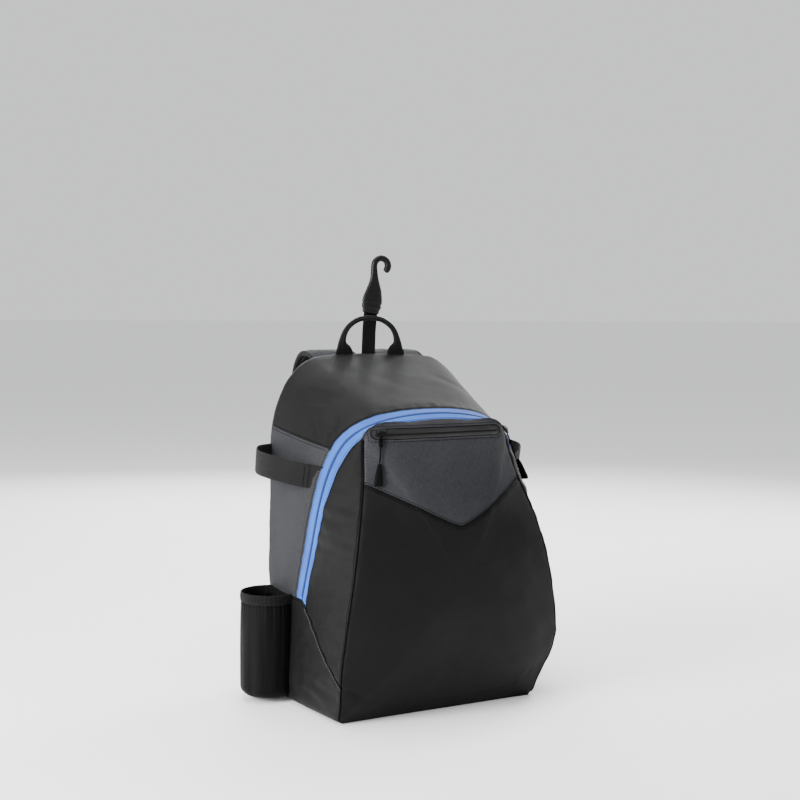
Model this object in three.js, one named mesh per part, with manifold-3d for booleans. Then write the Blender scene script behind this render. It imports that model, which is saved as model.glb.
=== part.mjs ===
// A youth backpack that carries two bats at its sides: a hollow body of sewn cloth panels with a long
// arched zip, a bat sleeve and an elastic bat strap on each side, padded shoulder straps, a grab
// handle and a moulded fence hook on a strap.
// Millimetres. +Z is up, the front of the bag faces -Y, and the origin is on the base, between the
// bat sleeves.
import * as THREE from "three";
import { mergeVertices } from "three/addons/utils/BufferGeometryUtils.js";
import Module from "manifold-3d";

const wasm = await Module();
wasm.setup();

// Sizes of the body
const bagWidth = 300;
const bagHeight = 437;
const backSeamY = 100;
const frontSeamReach = 120;
const frontPanelReach = 140;
const fullestHeight = 165;
const clothWall = 2;
const seamGap = 0.3;
const backEdgeRound = 7;
const sideSwell = 4;
const backPanelThickness = 10;
const backPanelRim = 3.3;

// Sizes of the panels' seams
const sidePanelTopAtBack = 342;
const sidePanelTopAtZip = 320;
const tubCornerHeight = 45;
const tubFrontHeight = 17;
const tubTurnStart = 0.8;
const tubTurnEnd = 0.96;
const tubSlantEnd = 0.9;
const pocketPointHeight = 232;
const pocketSideHeight = 287;
const pocketSideShare = 0.74;

// Sizes of the main zip
const zipFootHeight = 134;
const zipFootY = -6;
const zipTopHeight = 366;
const zipTopY = -70;
const zipTapeWidth = 13;
const frontPanelDrop = 5.5;
const frontPanelHeight = zipTopHeight - frontPanelDrop;
const zipCoilDiameter = 3.2;
const coilClearance = 3 * seamGap;
const leastGusset = 2 * seamGap;
const gussetTopDrop = 22.5;
const gussetTopHeight = frontPanelHeight - gussetTopDrop;
const mainSliderRib = 9.5;

// Sizes of the pocket zip
const pocketZipDrop = 16.5;
const pocketZipShare = 0.6;
const pocketZipHeight = frontPanelHeight - pocketZipDrop;
const pocketZipLength = pocketZipShare * bagWidth;
const pocketZipShift = -6;
const pocketZipTapeWidth = 7;
const pocketZipCoilDiameter = 2.4;

// Sizes of the zip pulls
const sliderLength = 13;
const sliderWidth = 8.5;
const sliderThickness = 4;
const pullCordDiameter = 2;
const pullCordLength = 31;
const gripLength = 26;
const gripWidth = 9;
const gripThickness = 5;
const pullClearance = 4 * seamGap;
const mainPullLean = 0.16;
const pocketPullLean = -0.12;

// Sizes of the bat carriers
const sleeveRadius = 37;
const sleeveOverhang = 19;
const sleeveY = 52;
const sleeveHeight = 137;
const sleeveFloorGap = 5;
const sleeveWall = 2;
const sleeveFootRound = 13;
const bindingHeight = 12;
const bindingThickness = 3.6;
const batStrapWidth = 31;
const batStrapThickness = 2.2;
const batStrapReach = 41;
const batStrapHeight = 311;
const batStrapDrop = 24;
const batStrapRoot = 0.955;

// Sizes of the shoulder straps
const strapWidth = 68;
const strapThickness = 11;
const strapSpacing = 32;
const strapReach = 46;
const strapDrop = 245;
const strapSplay = 30;
const lowerWebbingWidth = 25;
const lowerWebbingThickness = 2;
const anchorHeight = 46;
const anchorInset = 26;
const anchorLength = 44;
const lockLength = 26;
const lockThickness = 5;
const lockWall = 4;

// Sizes of the grab handle, the hook strap and the fence hook
const handleSpan = 84;
const handleRise = 48;
const handleThickness = 6.5;
const handleFootWidth = 27;
const handleWebbing = 2.6;
const handleY = 95;
const handleShift = -4;
const hookStrapWidth = 20;
const hookStrapThickness = 2.6;
const hookStrapLength = 65;
const hookHeight = 79;
const hookWidth = 28;
const hookThickness = 8.5;
const hookWire = 7;
const hookCurlWidth = 21;
const hookCurlHeight = 19;
const hookSocketDepth = 9;
const hookShift = -1.5;
const socketClearance = 0.4;

// The body's outlines, a row for each rib, from the middle of the base round one side to the middle
// of the top. back and zip are [x, z] and seam is [x, y, z]: x is a share of half the bag's width, y of
// the front seam's reach, and z of the height that this outline reaches at the top. swell is the
// share of the cloth's swelling between two outlines. right is the width of the right side as a
// share of the left's, because the soft bag sags a little to the right below and has sunk in above.
const ribs = [
  { back: [0, 0], zip: [0, 0], seam: [0, 0.79, 0], swell: 0, right: 1 },
  { back: [0.9, 0], zip: [0.98, 0], seam: [0.93, 0.8, 0], swell: 0, right: 0.97 },
  { back: [0.975, 0.01], zip: [1.045, 0.014], seam: [0.98, 0.82, 0.012], swell: 0.1, right: 0.98 },
  { back: [0.995, 0.05], zip: [1.055, 0.06], seam: [0.99, 0.87, 0.06], swell: 0.3, right: 1.01 },
  { back: [1, 0.16], zip: [1.04, 0.19], seam: [1.01, 0.935, 0.17], swell: 0.5, right: 1.04 },
  { back: [1, 0.32], zip: [1.02, 0.363], seam: [0.985, 0.985, 0.32], swell: 0.7, right: 1.03 },
  { back: [1, 0.49], zip: [0.995, 0.54], seam: [0.925, 1, 0.5], swell: 1, right: 1 },
  { back: [0.995, 0.65], zip: [0.97, 0.71], seam: [0.855, 0.94, 0.65], swell: 1, right: 0.97 },
  { back: [0.98, 0.775], zip: [0.92, 0.825], seam: [0.755, 0.78, 0.8], swell: 0.8, right: 0.94 },
  { back: [0.915, 0.865], zip: [0.83, 0.905], seam: [0.715, 0.68, 0.905], swell: 0.6, right: 0.92 },
  { back: [0.795, 0.938], zip: [0.69, 0.948], seam: [0.695, 0.66, 0.958], swell: 0.8, right: 0.92 },
  { back: [0.63, 0.981], zip: [0.51, 0.975], seam: [0.57, 0.66, 0.986], swell: 0.8, right: 0.94 },
  { back: [0.38, 0.996], zip: [0.28, 0.993], seam: [0.28, 0.66, 0.996], swell: 0, right: 0.97 },
  { back: [0, 1], zip: [0, 1], seam: [0, 0.66, 1], swell: -0.4, right: 1 },
];

// Where the skin's loops lie, as shares of the way across each panel
const rearShares = [0, 0.03, 0.08, 0.3, 0.55, 0.8];
const gussetShares = [0.35, 0.7];
const panelShares = [0.9, 0.62, 0.28];
const panelFullness = 2.3;

// How finely curves are stepped
const samplesPerRib = 2;
const bandSides = 4;
const padSides = 8;
const coilSides = 6;
const cordSides = 8;
const hookSides = 12;
const sleeveSides = 24;
const strapSteps = 27;
const batStrapSteps = 20;
const handleSteps = 28;

const halfWidth = bagWidth / 2;
const inFront = -2 * frontPanelReach;
const behind = 2 * backSeamY;
const overTop = 2 * bagHeight;
const across = new THREE.Vector3(1, 0, 0);
const back = new THREE.Vector3(0, 1, 0);

const mix = (a, b, share) => a + (b - a) * share;
const point = (x, y, z) => new THREE.Vector3(x, y, z);

// The zip runs in one slanted plane: its depth at a height.
function zipY(z) {
  return mix(zipFootY, zipTopY, (z - zipFootHeight) / (zipTopHeight - zipFootHeight));
}

// The three outlines that the cloth is stretched between, at one rib.
function backRib(rib) {
  const [x, z] = rib.back;
  return point(x * halfWidth, backSeamY, z * bagHeight);
}

function zipRib(rib) {
  const [x, share] = rib.zip;
  const z = share * zipTopHeight;
  return point(x * halfWidth, zipY(z), z);
}

function seamRib(rib) {
  const [x, y, z] = rib.seam;
  const nearestY = zipRib(rib).y - zipTapeWidth - leastGusset;
  return point(x * halfWidth, Math.min(-y * frontSeamReach, nearestY), z * frontPanelHeight);
}

// How far the cloth swells at a share of the way between two seams: most in the middle.
function swelling(rib, share) {
  return 4 * share * (1 - share) * sideSwell * rib.swell;
}

// A place moved away from the middle of the bag.
function swollen(p, amount) {
  const out = point(p.x, 0, p.z - fullestHeight).normalize();
  return p.addScaledVector(out, amount);
}

// How far the rounding of the back edge is in force at a height: it fades out at the base.
function edgeLift(z) {
  return Math.min(1, z / (4 * backEdgeRound));
}

// A rib's point on the rear cloth, at a share of the way from the back seam to the zip.
function rearPoint(rib, share) {
  const start = backRib(rib);
  const run = (backSeamY - zipRib(rib).y) * share;
  const turn = Math.max(0, 1 - run / backEdgeRound);
  const inset = backEdgeRound * (1 - Math.sqrt(1 - turn * turn)) * edgeLift(start.z);
  return swollen(start.lerp(zipRib(rib), share), swelling(rib, share) - inset);
}

// A rib's point so far behind the zip, and one so far in front of it.
function behindZip(rib, distance) {
  return rearPoint(rib, 1 - distance / (backSeamY - zipRib(rib).y));
}

function beforeZip(rib, distance) {
  const zip = zipRib(rib);
  const seam = seamRib(rib);
  return zip.clone().lerp(seam, distance / (zip.y - seam.y));
}

// A rib's point on the gusset, from the front tape's edge to the front seam.
function gussetPoint(rib, share) {
  const p = beforeZip(rib, zipTapeWidth + seamGap).lerp(seamRib(rib), share);
  return swollen(p, swelling(rib, share));
}

// A rib's point on the front panel, from its middle out to the front seam.
function panelPoint(rib, share) {
  const seam = seamRib(rib);
  const y = mix(-frontPanelReach, seam.y, share ** panelFullness);
  return point(seam.x * share, y, mix(fullestHeight, seam.z, share));
}

// A closed outline through the ribs' points on the right and their mirror images on the left.
function loopOf(pointAt) {
  const right = ribs.map((rib) => {
    const p = pointAt(rib);
    const sag = THREE.MathUtils.clamp((backSeamY - p.y) / (backSeamY - zipFootY), 0, 1);
    return point(p.x * mix(1, rib.right, sag), p.y, p.z);
  });
  const left = ribs.map(pointAt).slice(1, -1).reverse().map((p) => point(-p.x, p.y, p.z));
  const curve = new THREE.CatmullRomCurve3([...right, ...left], true, "centripetal");
  const count = (right.length + left.length) * samplesPerRib;
  return Array.from({ length: count }, (_, i) => {
    const p = curve.getPoint(i / count);
    return point(p.x, p.y, Math.max(0, p.z));
  });
}

// A solid from its corners and its faces, turned so that its faces point out.
function solidOf(corners, faces) {
  const build = (list) => {
    const geometry = new THREE.BufferGeometry().setFromPoints(corners);
    geometry.setIndex(list.flat());
    return manifoldOf(geometry);
  };
  const made = build(faces);
  return made.volume() < 0 ? build(faces.map(([a, b, c]) => [a, c, b])) : made;
}

// A closed three.js geometry as a solid.
function manifoldOf(geometry) {
  const bare = geometry.clone();
  bare.deleteAttribute("normal");
  bare.deleteAttribute("uv");
  const merged = mergeVertices(bare, 1e-4);
  const mesh = new wasm.Mesh({
    numProp: 3,
    vertProperties: new Float32Array(merged.attributes.position.array),
    triVerts: new Uint32Array(merged.index.array),
  });
  return new wasm.Manifold(mesh);
}

// Two faces for each side of a strip between two closed loops of corners.
function stripFaces(first, second, count) {
  return Array.from({ length: count }, (_, i) => {
    const next = (i + 1) % count;
    return [
      [first + i, first + next, second + next],
      [first + i, second + next, second + i],
    ];
  }).flat();
}

const centreOf = (loop) => loop.reduce((sum, p) => sum.add(p), point(0, 0, 0)).divideScalar(loop.length);

// A solid whose skin runs through a row of closed loops, with flat ends.
function loft(loops) {
  const count = loops[0].length;
  const corners = [...loops.flat(), centreOf(loops[0]), centreOf(loops.at(-1))];
  const faces = loops.slice(1).flatMap((_, i) => stripFaces(i * count, (i + 1) * count, count));
  const startCentre = corners.length - 2;
  const endCentre = corners.length - 1;
  const lastLoop = (loops.length - 1) * count;
  for (let i = 0; i < count; i += 1) {
    const next = (i + 1) % count;
    faces.push([startCentre, next, i]);
    faces.push([endCentre, lastLoop + i, lastLoop + next]);
  }
  return solidOf(corners, faces);
}

// A wall between a row of loops and the same row moved inwards, open at both ends.
function wallOf(loops, thickness) {
  const count = loops[0].length;
  const rows = loops.length;
  const corners = [...loops.flat(), ...offsetLoops(loops, -thickness).flat()];
  const inner = rows * count;
  const faces = [];
  for (let i = 0; i < rows - 1; i += 1) {
    faces.push(...stripFaces(i * count, (i + 1) * count, count));
    faces.push(...stripFaces(inner + (i + 1) * count, inner + i * count, count));
  }
  faces.push(...stripFaces(inner, 0, count));
  faces.push(...stripFaces((rows - 1) * count, inner + (rows - 1) * count, count));
  return solidOf(corners, faces);
}

// The loops moved out along the cloth's own normal, or in where the distance is negative.
function offsetLoops(loops, distance) {
  const middle = point(0, 0, fullestHeight);
  return loops.map((loop, i) => {
    const before = loops[Math.max(0, i - 1)];
    const after = loops[Math.min(loops.length - 1, i + 1)];
    return loop.map((p, j) => {
      const last = loop.at(j - 1);
      const next = loop[(j + 1) % loop.length];
      const along = next.clone().sub(last);
      const over = after[j].clone().sub(before[j]);
      const normal = along.cross(over).normalize();
      if (normal.dot(p.clone().sub(middle)) < 0) normal.negate();
      return p.clone().addScaledVector(normal, distance);
    });
  });
}

// A prism from an outline of [y, z] corners, running across the whole bag.
function acrossPrism(outline) {
  const reach = 2 * bagWidth;
  const shape = new THREE.Shape(outline.map(([y, z]) => new THREE.Vector2(y, z)));
  const geometry = new THREE.ExtrudeGeometry(shape, { depth: reach, bevelEnabled: false });
  geometry.translate(0, 0, -reach / 2);
  geometry.applyMatrix4(new THREE.Matrix4().makeBasis(back, point(0, 0, 1), across));
  return manifoldOf(geometry);
}

// A prism from an outline of [x, z] corners, running from the front face of the bag to its middle.
function frontPrism(outline) {
  const shape = new THREE.Shape(outline.map(([x, z]) => new THREE.Vector2(x, z)));
  const reach = 2 * frontPanelReach;
  const geometry = new THREE.ExtrudeGeometry(shape, { depth: reach, bevelEnabled: false });
  geometry.applyMatrix4(new THREE.Matrix4().makeBasis(across, point(0, 0, 1), point(0, -1, 0)));
  return manifoldOf(geometry);
}

// A block between two opposite corners.
function block(low, high) {
  const size = high.clone().sub(low);
  const middle = low.clone().add(high).multiplyScalar(0.5);
  const geometry = new THREE.BoxGeometry(size.x, size.y, size.z);
  geometry.translate(middle.x, middle.y, middle.z);
  return manifoldOf(geometry);
}

// Everything around the bag below a height.
function belowHeight(height) {
  return block(point(-bagWidth, inFront, -clothWall), point(bagWidth, behind, height));
}

// The corners of one section: four for a flat band, more for a rounded one.
function sectionCorners(at, wide, thick, halfAcross, halfDeep, sides) {
  const squareness = sides === bandSides ? 0 : 0.7;
  const power = (value) => Math.sign(value) * Math.abs(value) ** squareness;
  return Array.from({ length: sides }, (_, i) => {
    const angle = ((i + 0.5) / sides) * 2 * Math.PI;
    return at
      .clone()
      .addScaledVector(wide, halfAcross * power(Math.cos(angle)))
      .addScaledVector(thick, halfDeep * power(Math.sin(angle)));
  });
}

// The direction of a row of stations at one of them.
function directionAt(stations, i) {
  const before = stations[Math.max(0, i - 1)].at;
  const after = stations[Math.min(stations.length - 1, i + 1)].at;
  return after.clone().sub(before).normalize();
}

// A band swept through its stations: each has a place, a direction across, a width and a thickness.
function sweep(stations, sides) {
  const loops = stations.map((station, i) => {
    const along = directionAt(stations, i);
    const wide = station.wide.clone().addScaledVector(along, -station.wide.dot(along)).normalize();
    const thick = along.clone().cross(wide);
    return sectionCorners(station.at, wide, thick, station.width / 2, station.thickness / 2, sides);
  });
  return loft(loops);
}

// A rod bent in the upright plane across the bag: its width lies in that plane.
function sweepUpright(stations, sides) {
  const loops = stations.map((station, i) => {
    const wide = directionAt(stations, i).cross(back).normalize();
    return sectionCorners(station.at, wide, back, station.width / 2, station.thickness / 2, sides);
  });
  return loft(loops);
}

// Stations read off a smooth curve through the rows of a table. Each row's own values go with it.
function smoothStations(rows, count) {
  const curve = new THREE.CatmullRomCurve3(rows.map((row) => row.at), false, "centripetal");
  return Array.from({ length: count + 1 }, (_, i) => {
    const place = (i / count) * (rows.length - 1);
    const index = Math.min(rows.length - 2, Math.floor(place));
    const share = place - index;
    const from = rows[index];
    const to = rows[index + 1];
    return {
      at: curve.getPoint(i / count),
      wide: from.wide.clone().lerp(to.wide, share),
      width: mix(from.width, to.width, share),
      thickness: mix(from.thickness, to.thickness, share),
    };
  });
}

const parts = new THREE.Group();

function addPart(name, solid, look) {
  const mesh = solid.getMesh();
  const geometry = new THREE.BufferGeometry();
  geometry.setAttribute("position", new THREE.BufferAttribute(mesh.vertProperties, 3));
  geometry.setIndex(new THREE.BufferAttribute(mesh.triVerts, 1));
  geometry.computeVertexNormals();
  const part = new THREE.Mesh(geometry, look);
  part.name = name;
  parts.add(part);
}

const lookOf = (color, roughness, metalness = 0) =>
  new THREE.MeshStandardMaterial({ color, roughness, metalness });
const blackCloth = lookOf(0x242426, 0.6);
const greyCloth = lookOf(0x4b4d52, 0.85);
const blueTape = lookOf(0x85aee6, 0.7);
const blueCoil = lookOf(0x5f8fd0, 0.45);
const blackCoil = lookOf(0x1c1c1e, 0.45);
const blackWebbing = lookOf(0x1b1b1d, 0.8);
const charcoalElastic = lookOf(0x2f2f31, 0.85);
const blackPadding = lookOf(0x1e1e20, 0.9);
const blackPlastic = lookOf(0x202022, 0.4);
const blackCord = lookOf(0x18181a, 0.8);
const pullMetal = lookOf(0x2a2a2d, 0.35, 0.6);

// The whole skin's loops, from the back seam to the middle of the front panel
const rearLoops = rearShares.map((share) => loopOf((rib) => rearPoint(rib, share)));
const rearEdgeLoop = loopOf((rib) => behindZip(rib, zipTapeWidth + seamGap));
const zipLoop = loopOf(zipRib);
const frontEdgeLoop = loopOf((rib) => gussetPoint(rib, 0));
const gussetLoops = gussetShares.map((share) => loopOf((rib) => gussetPoint(rib, share)));
const seamLoop = loopOf(seamRib);
const panelLoops = panelShares.map((share) => loopOf((rib) => panelPoint(rib, share)));
const skinLoops = [
  ...rearLoops,
  rearEdgeLoop,
  zipLoop,
  frontEdgeLoop,
  ...gussetLoops,
  seamLoop,
  ...panelLoops,
];

const skin = loft(skinLoops);
const bodyGrown = loft(offsetLoops(skinLoops, seamGap)).add(backSlab());
const skinMesh = new THREE.Mesh(
  new THREE.BufferGeometry().setFromPoints(meshPoints(skin)),
  new THREE.MeshStandardMaterial({ side: THREE.DoubleSide }),
);

// The room that a strip of the skin keeps free for itself, with a seam's gap on every side
function roomOf(loops) {
  return wallOf(offsetLoops(loops, seamGap), clothWall + 2 * seamGap);
}

const gussetSkin = [frontEdgeLoop, ...gussetLoops, seamLoop];
const seamReach = (rib) => seamGap / (zipRib(rib).y - zipTapeWidth - seamRib(rib).y);
const gussetRoom = roomOf([
  loopOf((rib) => gussetPoint(rib, -seamReach(rib))),
  ...gussetSkin,
  loopOf((rib) => gussetPoint(rib, 1 + seamReach(rib))),
]).intersect(belowHeight(gussetTopHeight + seamGap));
const frontTapeRoom = roomOf([zipLoop, frontEdgeLoop]);

// The corners of each face of a solid, one after the other.
function meshPoints(solid) {
  const mesh = solid.getMesh();
  const corner = (i) => point(...mesh.vertProperties.slice(3 * i, 3 * i + 3));
  return Array.from(mesh.triVerts, corner);
}

// The depth of the skin that faces forward at a place, seen from the front.
function frontSkinY(x, z) {
  const ray = new THREE.Raycaster(point(x, -3 * frontPanelReach, z), back);
  return ray.intersectObject(skinMesh)[0].point.y;
}

// The padded back: a slab with the back seam's outline and a bevelled rear edge.
function backSlab() {
  const near = backSeamY + seamGap;
  const far = near + backPanelThickness;
  const outline = (y, inset) =>
    rearLoops[0].map((p) => swollen(point(p.x, y, p.z), -inset * edgeLift(p.z)));
  return loft([outline(near, 0), outline(far - backPanelRim, 0), outline(far, backPanelRim)]);
}

// The tub's upper limit: level along the side, slanted below the zip's foot, low across the front.
function tubHeight(x, y) {
  const share = Math.abs(x) / halfWidth;
  const side = THREE.MathUtils.smoothstep(share, tubTurnStart, tubTurnEnd);
  const slant = THREE.MathUtils.clamp((zipFootY - y) / (tubSlantEnd * frontSeamReach + zipFootY), 0, 1);
  const sideHeight = mix(zipFootHeight, tubCornerHeight, slant);
  const rise = Math.min(1, share) ** 4;
  return mix(mix(tubFrontHeight, tubCornerHeight, rise), sideHeight, side);
}

// Everything below the tub's upper limit, as one solid with a gridded top.
function tubRegion(lift) {
  const outward = [0.3, 0.6, tubTurnStart, mix(tubTurnStart, tubTurnEnd, 0.6), tubTurnEnd, 1.4];
  const columns = [...outward.map((share) => -share).reverse(), 0, ...outward];
  const slantEnd = -tubSlantEnd * frontSeamReach;
  const rows = [behind, zipFootY, mix(zipFootY, slantEnd, 0.5), slantEnd, inFront];
  const loops = columns.map((share) => {
    const x = share * halfWidth;
    const top = rows.map((y) => point(x, y, tubHeight(x, y) + lift));
    const floor = [...rows].reverse().map((y) => point(x, y, -clothWall));
    return [...top, ...floor];
  });
  return loft(loops);
}

const belowSeam = tubRegion(0);
const belowSeamGrown = tubRegion(seamGap);

// The line across the side where the dome's cloth meets the grey side panel.
function sideSeamRegion(shift) {
  return acrossPrism([
    [zipTopY, sidePanelTopAtZip + shift],
    [backSeamY, sidePanelTopAtBack + shift],
    [behind, sidePanelTopAtBack + shift],
    [behind, overTop],
    [zipTopY, overTop],
  ]);
}

function addBody() {
  addPart("base_tub", wallOf(skinLoops, clothWall).intersect(belowSeam), blackCloth);

  const rear = wallOf([...rearLoops, rearEdgeLoop], clothWall).subtract(belowSeamGrown);
  addPart("dome_panel", rear.intersect(sideSeamRegion(0)), blackCloth);
  const sides = rear.subtract(sideSeamRegion(-seamGap));
  const leftHalf = block(point(-bagWidth, inFront, 0), point(0, behind, overTop));
  const rightHalf = block(point(0, inFront, 0), point(bagWidth, behind, overTop));
  addPart("side_panel_left", sides.intersect(leftHalf), greyCloth);
  addPart("side_panel_right", sides.intersect(rightHalf), greyCloth);

  const gussets = wallOf(gussetSkin, clothWall)
    .subtract(belowSeamGrown)
    .intersect(belowHeight(gussetTopHeight));
  addPart("side_gusset_left", gussets.intersect(leftHalf), blackCloth);
  addPart("side_gusset_right", gussets.intersect(rightHalf), blackCloth);
  addPart("back_panel", backSlab(), blackPadding);
}

// The tapes are strips of the same skin on both sides of the coil, down to the tub.
function addMainZip() {
  const slot = zipCoilDiameter / 2 + coilClearance;
  const rear = [zipTapeWidth, slot].map((run) => loopOf((rib) => behindZip(rib, run)));
  const front = [slot, zipTapeWidth].map((run) => loopOf((rib) => beforeZip(rib, run)));
  addPart("main_zip_tape_rear", wallOf(rear, clothWall).subtract(belowSeamGrown), blueTape);
  const frontTape = wallOf(front, clothWall).subtract(gussetRoom).subtract(belowSeamGrown);
  addPart("main_zip_tape_front", largest(frontTape), blueTape);

  const lowest = zipFootHeight + zipCoilDiameter;
  const right = zipLoop.filter((p) => p.x > 0 && p.z > 0);
  const firstKept = right.findIndex((p) => p.z > lowest);
  const [below, above] = right.slice(firstKept - 1, firstKept + 1);
  const foot = below.clone().lerp(above, (lowest - below.z) / (above.z - below.z));
  const rising = [foot, ...right.slice(firstKept)];
  const falling = rising.slice(0, -1).reverse().map((p) => point(-p.x, p.y, p.z));
  const sunk = (p) => swollen(p.clone(), -zipCoilDiameter / 4);
  const line = [...rising, ...falling].map(sunk);
  addPart("main_zip_coil", tubeSolid(line, zipCoilDiameter, coilSides, 1), blueCoil);

  const index = Math.round(mainSliderRib * samplesPerRib);
  const at = zipLoop[index];
  const out = offsetLoops(skinLoops, 1)[skinLoops.indexOf(zipLoop)][index].sub(at).normalize();
  const along = zipLoop[index + 1].clone().sub(zipLoop[index - 1]).normalize();
  addPull("main_zip", { at: sunk(at), out, along }, zipCoilDiameter, mainPullLean);
}

// A round cord or coil through a list of places.
function tubeSolid(places, diameter, sides, stepsEach) {
  const section = new THREE.Shape(
    Array.from({ length: sides }, (_, i) => {
      const angle = (i / sides) * 2 * Math.PI;
      return new THREE.Vector2(Math.cos(angle), Math.sin(angle)).multiplyScalar(diameter / 2);
    }),
  );
  const geometry = new THREE.ExtrudeGeometry(section, {
    steps: (places.length - 1) * stepsEach,
    bevelEnabled: false,
    extrudePath: new THREE.CatmullRomCurve3(places, false, "centripetal"),
  });
  return manifoldOf(geometry);
}

// A place on the skin seen from the front, with the direction out of the cloth and one along it.
function frontPlace(x, z) {
  const step = 4;
  const at = point(x, frontSkinY(x, z), z);
  const along = point(x + step, frontSkinY(x + step, z), z).sub(at).normalize();
  const above = point(x, frontSkinY(x, z + step), z + step).sub(at).normalize();
  return { at, along, out: along.clone().cross(above).normalize() };
}

// How much further out a place has to go, in one direction, to have the standoff from the skin.
function missingStandoff(place, out, standoff) {
  const from = place.clone().addScaledVector(out, 3 * bagWidth);
  const hit = new THREE.Raycaster(from, out.clone().negate()).intersectObject(skinMesh)[0];
  return hit ? Math.max(0, hit.point.dot(out) + standoff - place.dot(out)) : 0;
}

// The slider's and the grip's forms along their length, as shares of their own sizes
const sliderRows = [
  { along: -0.5, width: 0.7 },
  { along: -0.25, width: 1 },
  { along: 0.25, width: 1 },
  { along: 0.5, width: 0.7 },
];
const gripRows = [
  { down: 0, width: 0.5, thickness: 0.6 },
  { down: 0.2, width: 0.75, thickness: 0.9 },
  { down: 0.7, width: 1, thickness: 1 },
  { down: 0.93, width: 0.9, thickness: 0.9 },
  { down: 1, width: 0.6, thickness: 0.6 },
];

// A zip pull: a slider on the coil, a cord from its lower edge and a moulded grip on the cord's end.
// Both hang down and lie against the cloth.
function addPull(name, place, coilDiameter, lean) {
  const down = point(0, 0, -1);
  const standoff = coilDiameter / 2 + seamGap + sliderThickness / 2;
  const seated = place.at.clone().addScaledVector(place.out, standoff);
  const wide = place.out.clone().cross(place.along);
  const corners = sectionCorners(seated, place.along, wide, sliderLength / 2, sliderWidth / 2, bandSides);
  const sunkIn = corners.map((p) => missingStandoff(p, place.out, sliderThickness / 2 + seamGap));
  const middle = seated.addScaledVector(place.out, Math.max(...sunkIn));
  const slider = sliderRows.map((row) => ({
    at: middle.clone().addScaledVector(place.along, row.along * sliderLength),
    wide,
    width: sliderWidth * row.width,
    thickness: sliderThickness,
  }));
  addPart(name + "_slider", sweep(slider, padSides), pullMetal);

  const halfDrop =
    (Math.abs(place.along.z) * sliderLength +
      Math.abs(wide.z) * sliderWidth +
      Math.abs(place.out.z) * sliderThickness) / 2;
  const hangOut = place.out.clone().setZ(0).normalize();
  const start = middle.clone().addScaledVector(down, halfDrop + seamGap);
  const hang = (drop) => {
    const share = Math.min(1, drop / pullCordLength);
    const free = mix(pullCordDiameter, gripThickness, share) / 2 + pullClearance;
    const at = start.clone().add(point(lean * drop, 0, -drop));
    return at.addScaledVector(hangOut, missingStandoff(at, hangOut, free));
  };
  const cord = [0, 0.33, 0.67, 1].map((share) => hang(share * pullCordLength));
  addPart(name + "_cord", tubeSolid(cord, pullCordDiameter, cordSides, 3), blackCord);

  const grip = gripRows.map((row) => ({
    at: hang(pullCordLength + 2 * seamGap + row.down * gripLength),
    wide: hangOut.clone().cross(down),
    width: gripWidth * row.width,
    thickness: gripThickness * row.thickness,
  }));
  addPart(name + "_grip", sweep(grip, padSides), blackPlastic);
}

// The front panel below the V seam, the pocket panel above it and the pocket's zip in its slot.
function addFrontPanel() {
  const loops = [seamLoop, ...panelLoops];
  const inner = offsetLoops(loops, -clothWall);
  const plug = loft([loops.at(-1), inner.at(-1)]);
  const panel = wallOf(loops, clothWall)
    .add(plug)
    .subtract(gussetRoom)
    .subtract(frontTapeRoom)
    .subtract(belowSeamGrown);
  const rise = (pocketSideHeight - pocketPointHeight) / (pocketSideShare * halfWidth);
  const vHeight = (x) => pocketPointHeight + rise * Math.abs(x);
  const roundX = 0.05 * halfWidth;
  const aboveV = (shift) =>
    frontPrism([
      [-bagWidth, vHeight(bagWidth) + shift],
      [-roundX, vHeight(roundX) + shift],
      [0, vHeight(roundX / 3) + shift],
      [roundX, vHeight(roundX) + shift],
      [bagWidth, vHeight(bagWidth) + shift],
      [bagWidth, overTop],
      [-bagWidth, overTop],
    ]);
  const slot = (grow) => {
    const halfLong = pocketZipLength / 2 + grow;
    const halfHigh = pocketZipTapeWidth / 2 + grow;
    return frontPrism([
      [pocketZipShift - halfLong, pocketZipHeight - halfHigh],
      [pocketZipShift + halfLong, pocketZipHeight - halfHigh],
      [pocketZipShift + halfLong, pocketZipHeight + halfHigh],
      [pocketZipShift - halfLong, pocketZipHeight + halfHigh],
    ]);
  };
  addPart("front_panel", largest(panel.subtract(aboveV(-seamGap))), blackCloth);
  const pocket = panel.intersect(aboveV(0)).subtract(slot(seamGap));
  addPart("front_pocket_panel", largest(pocket), greyCloth);
  addPart("pocket_zip_tape", panel.intersect(slot(0)), blackWebbing);

  const reach = pocketZipLength / 2 - pocketZipCoilDiameter;
  const coilPlace = (x) => {
    const place = frontPlace(pocketZipShift + x, pocketZipHeight);
    place.at.addScaledVector(place.out, pocketZipCoilDiameter / 2 + coilClearance);
    return place;
  };
  const line = [-1, -0.75, -0.5, -0.25, 0, 0.25, 0.5, 0.75, 1].map((share) => coilPlace(share * reach).at);
  addPart("pocket_zip_coil", tubeSolid(line, pocketZipCoilDiameter, coilSides, 2), blackCoil);
  addPull("pocket_zip", coilPlace(sliderLength / 2 - reach), pocketZipCoilDiameter, pocketPullLean);
}

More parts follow.
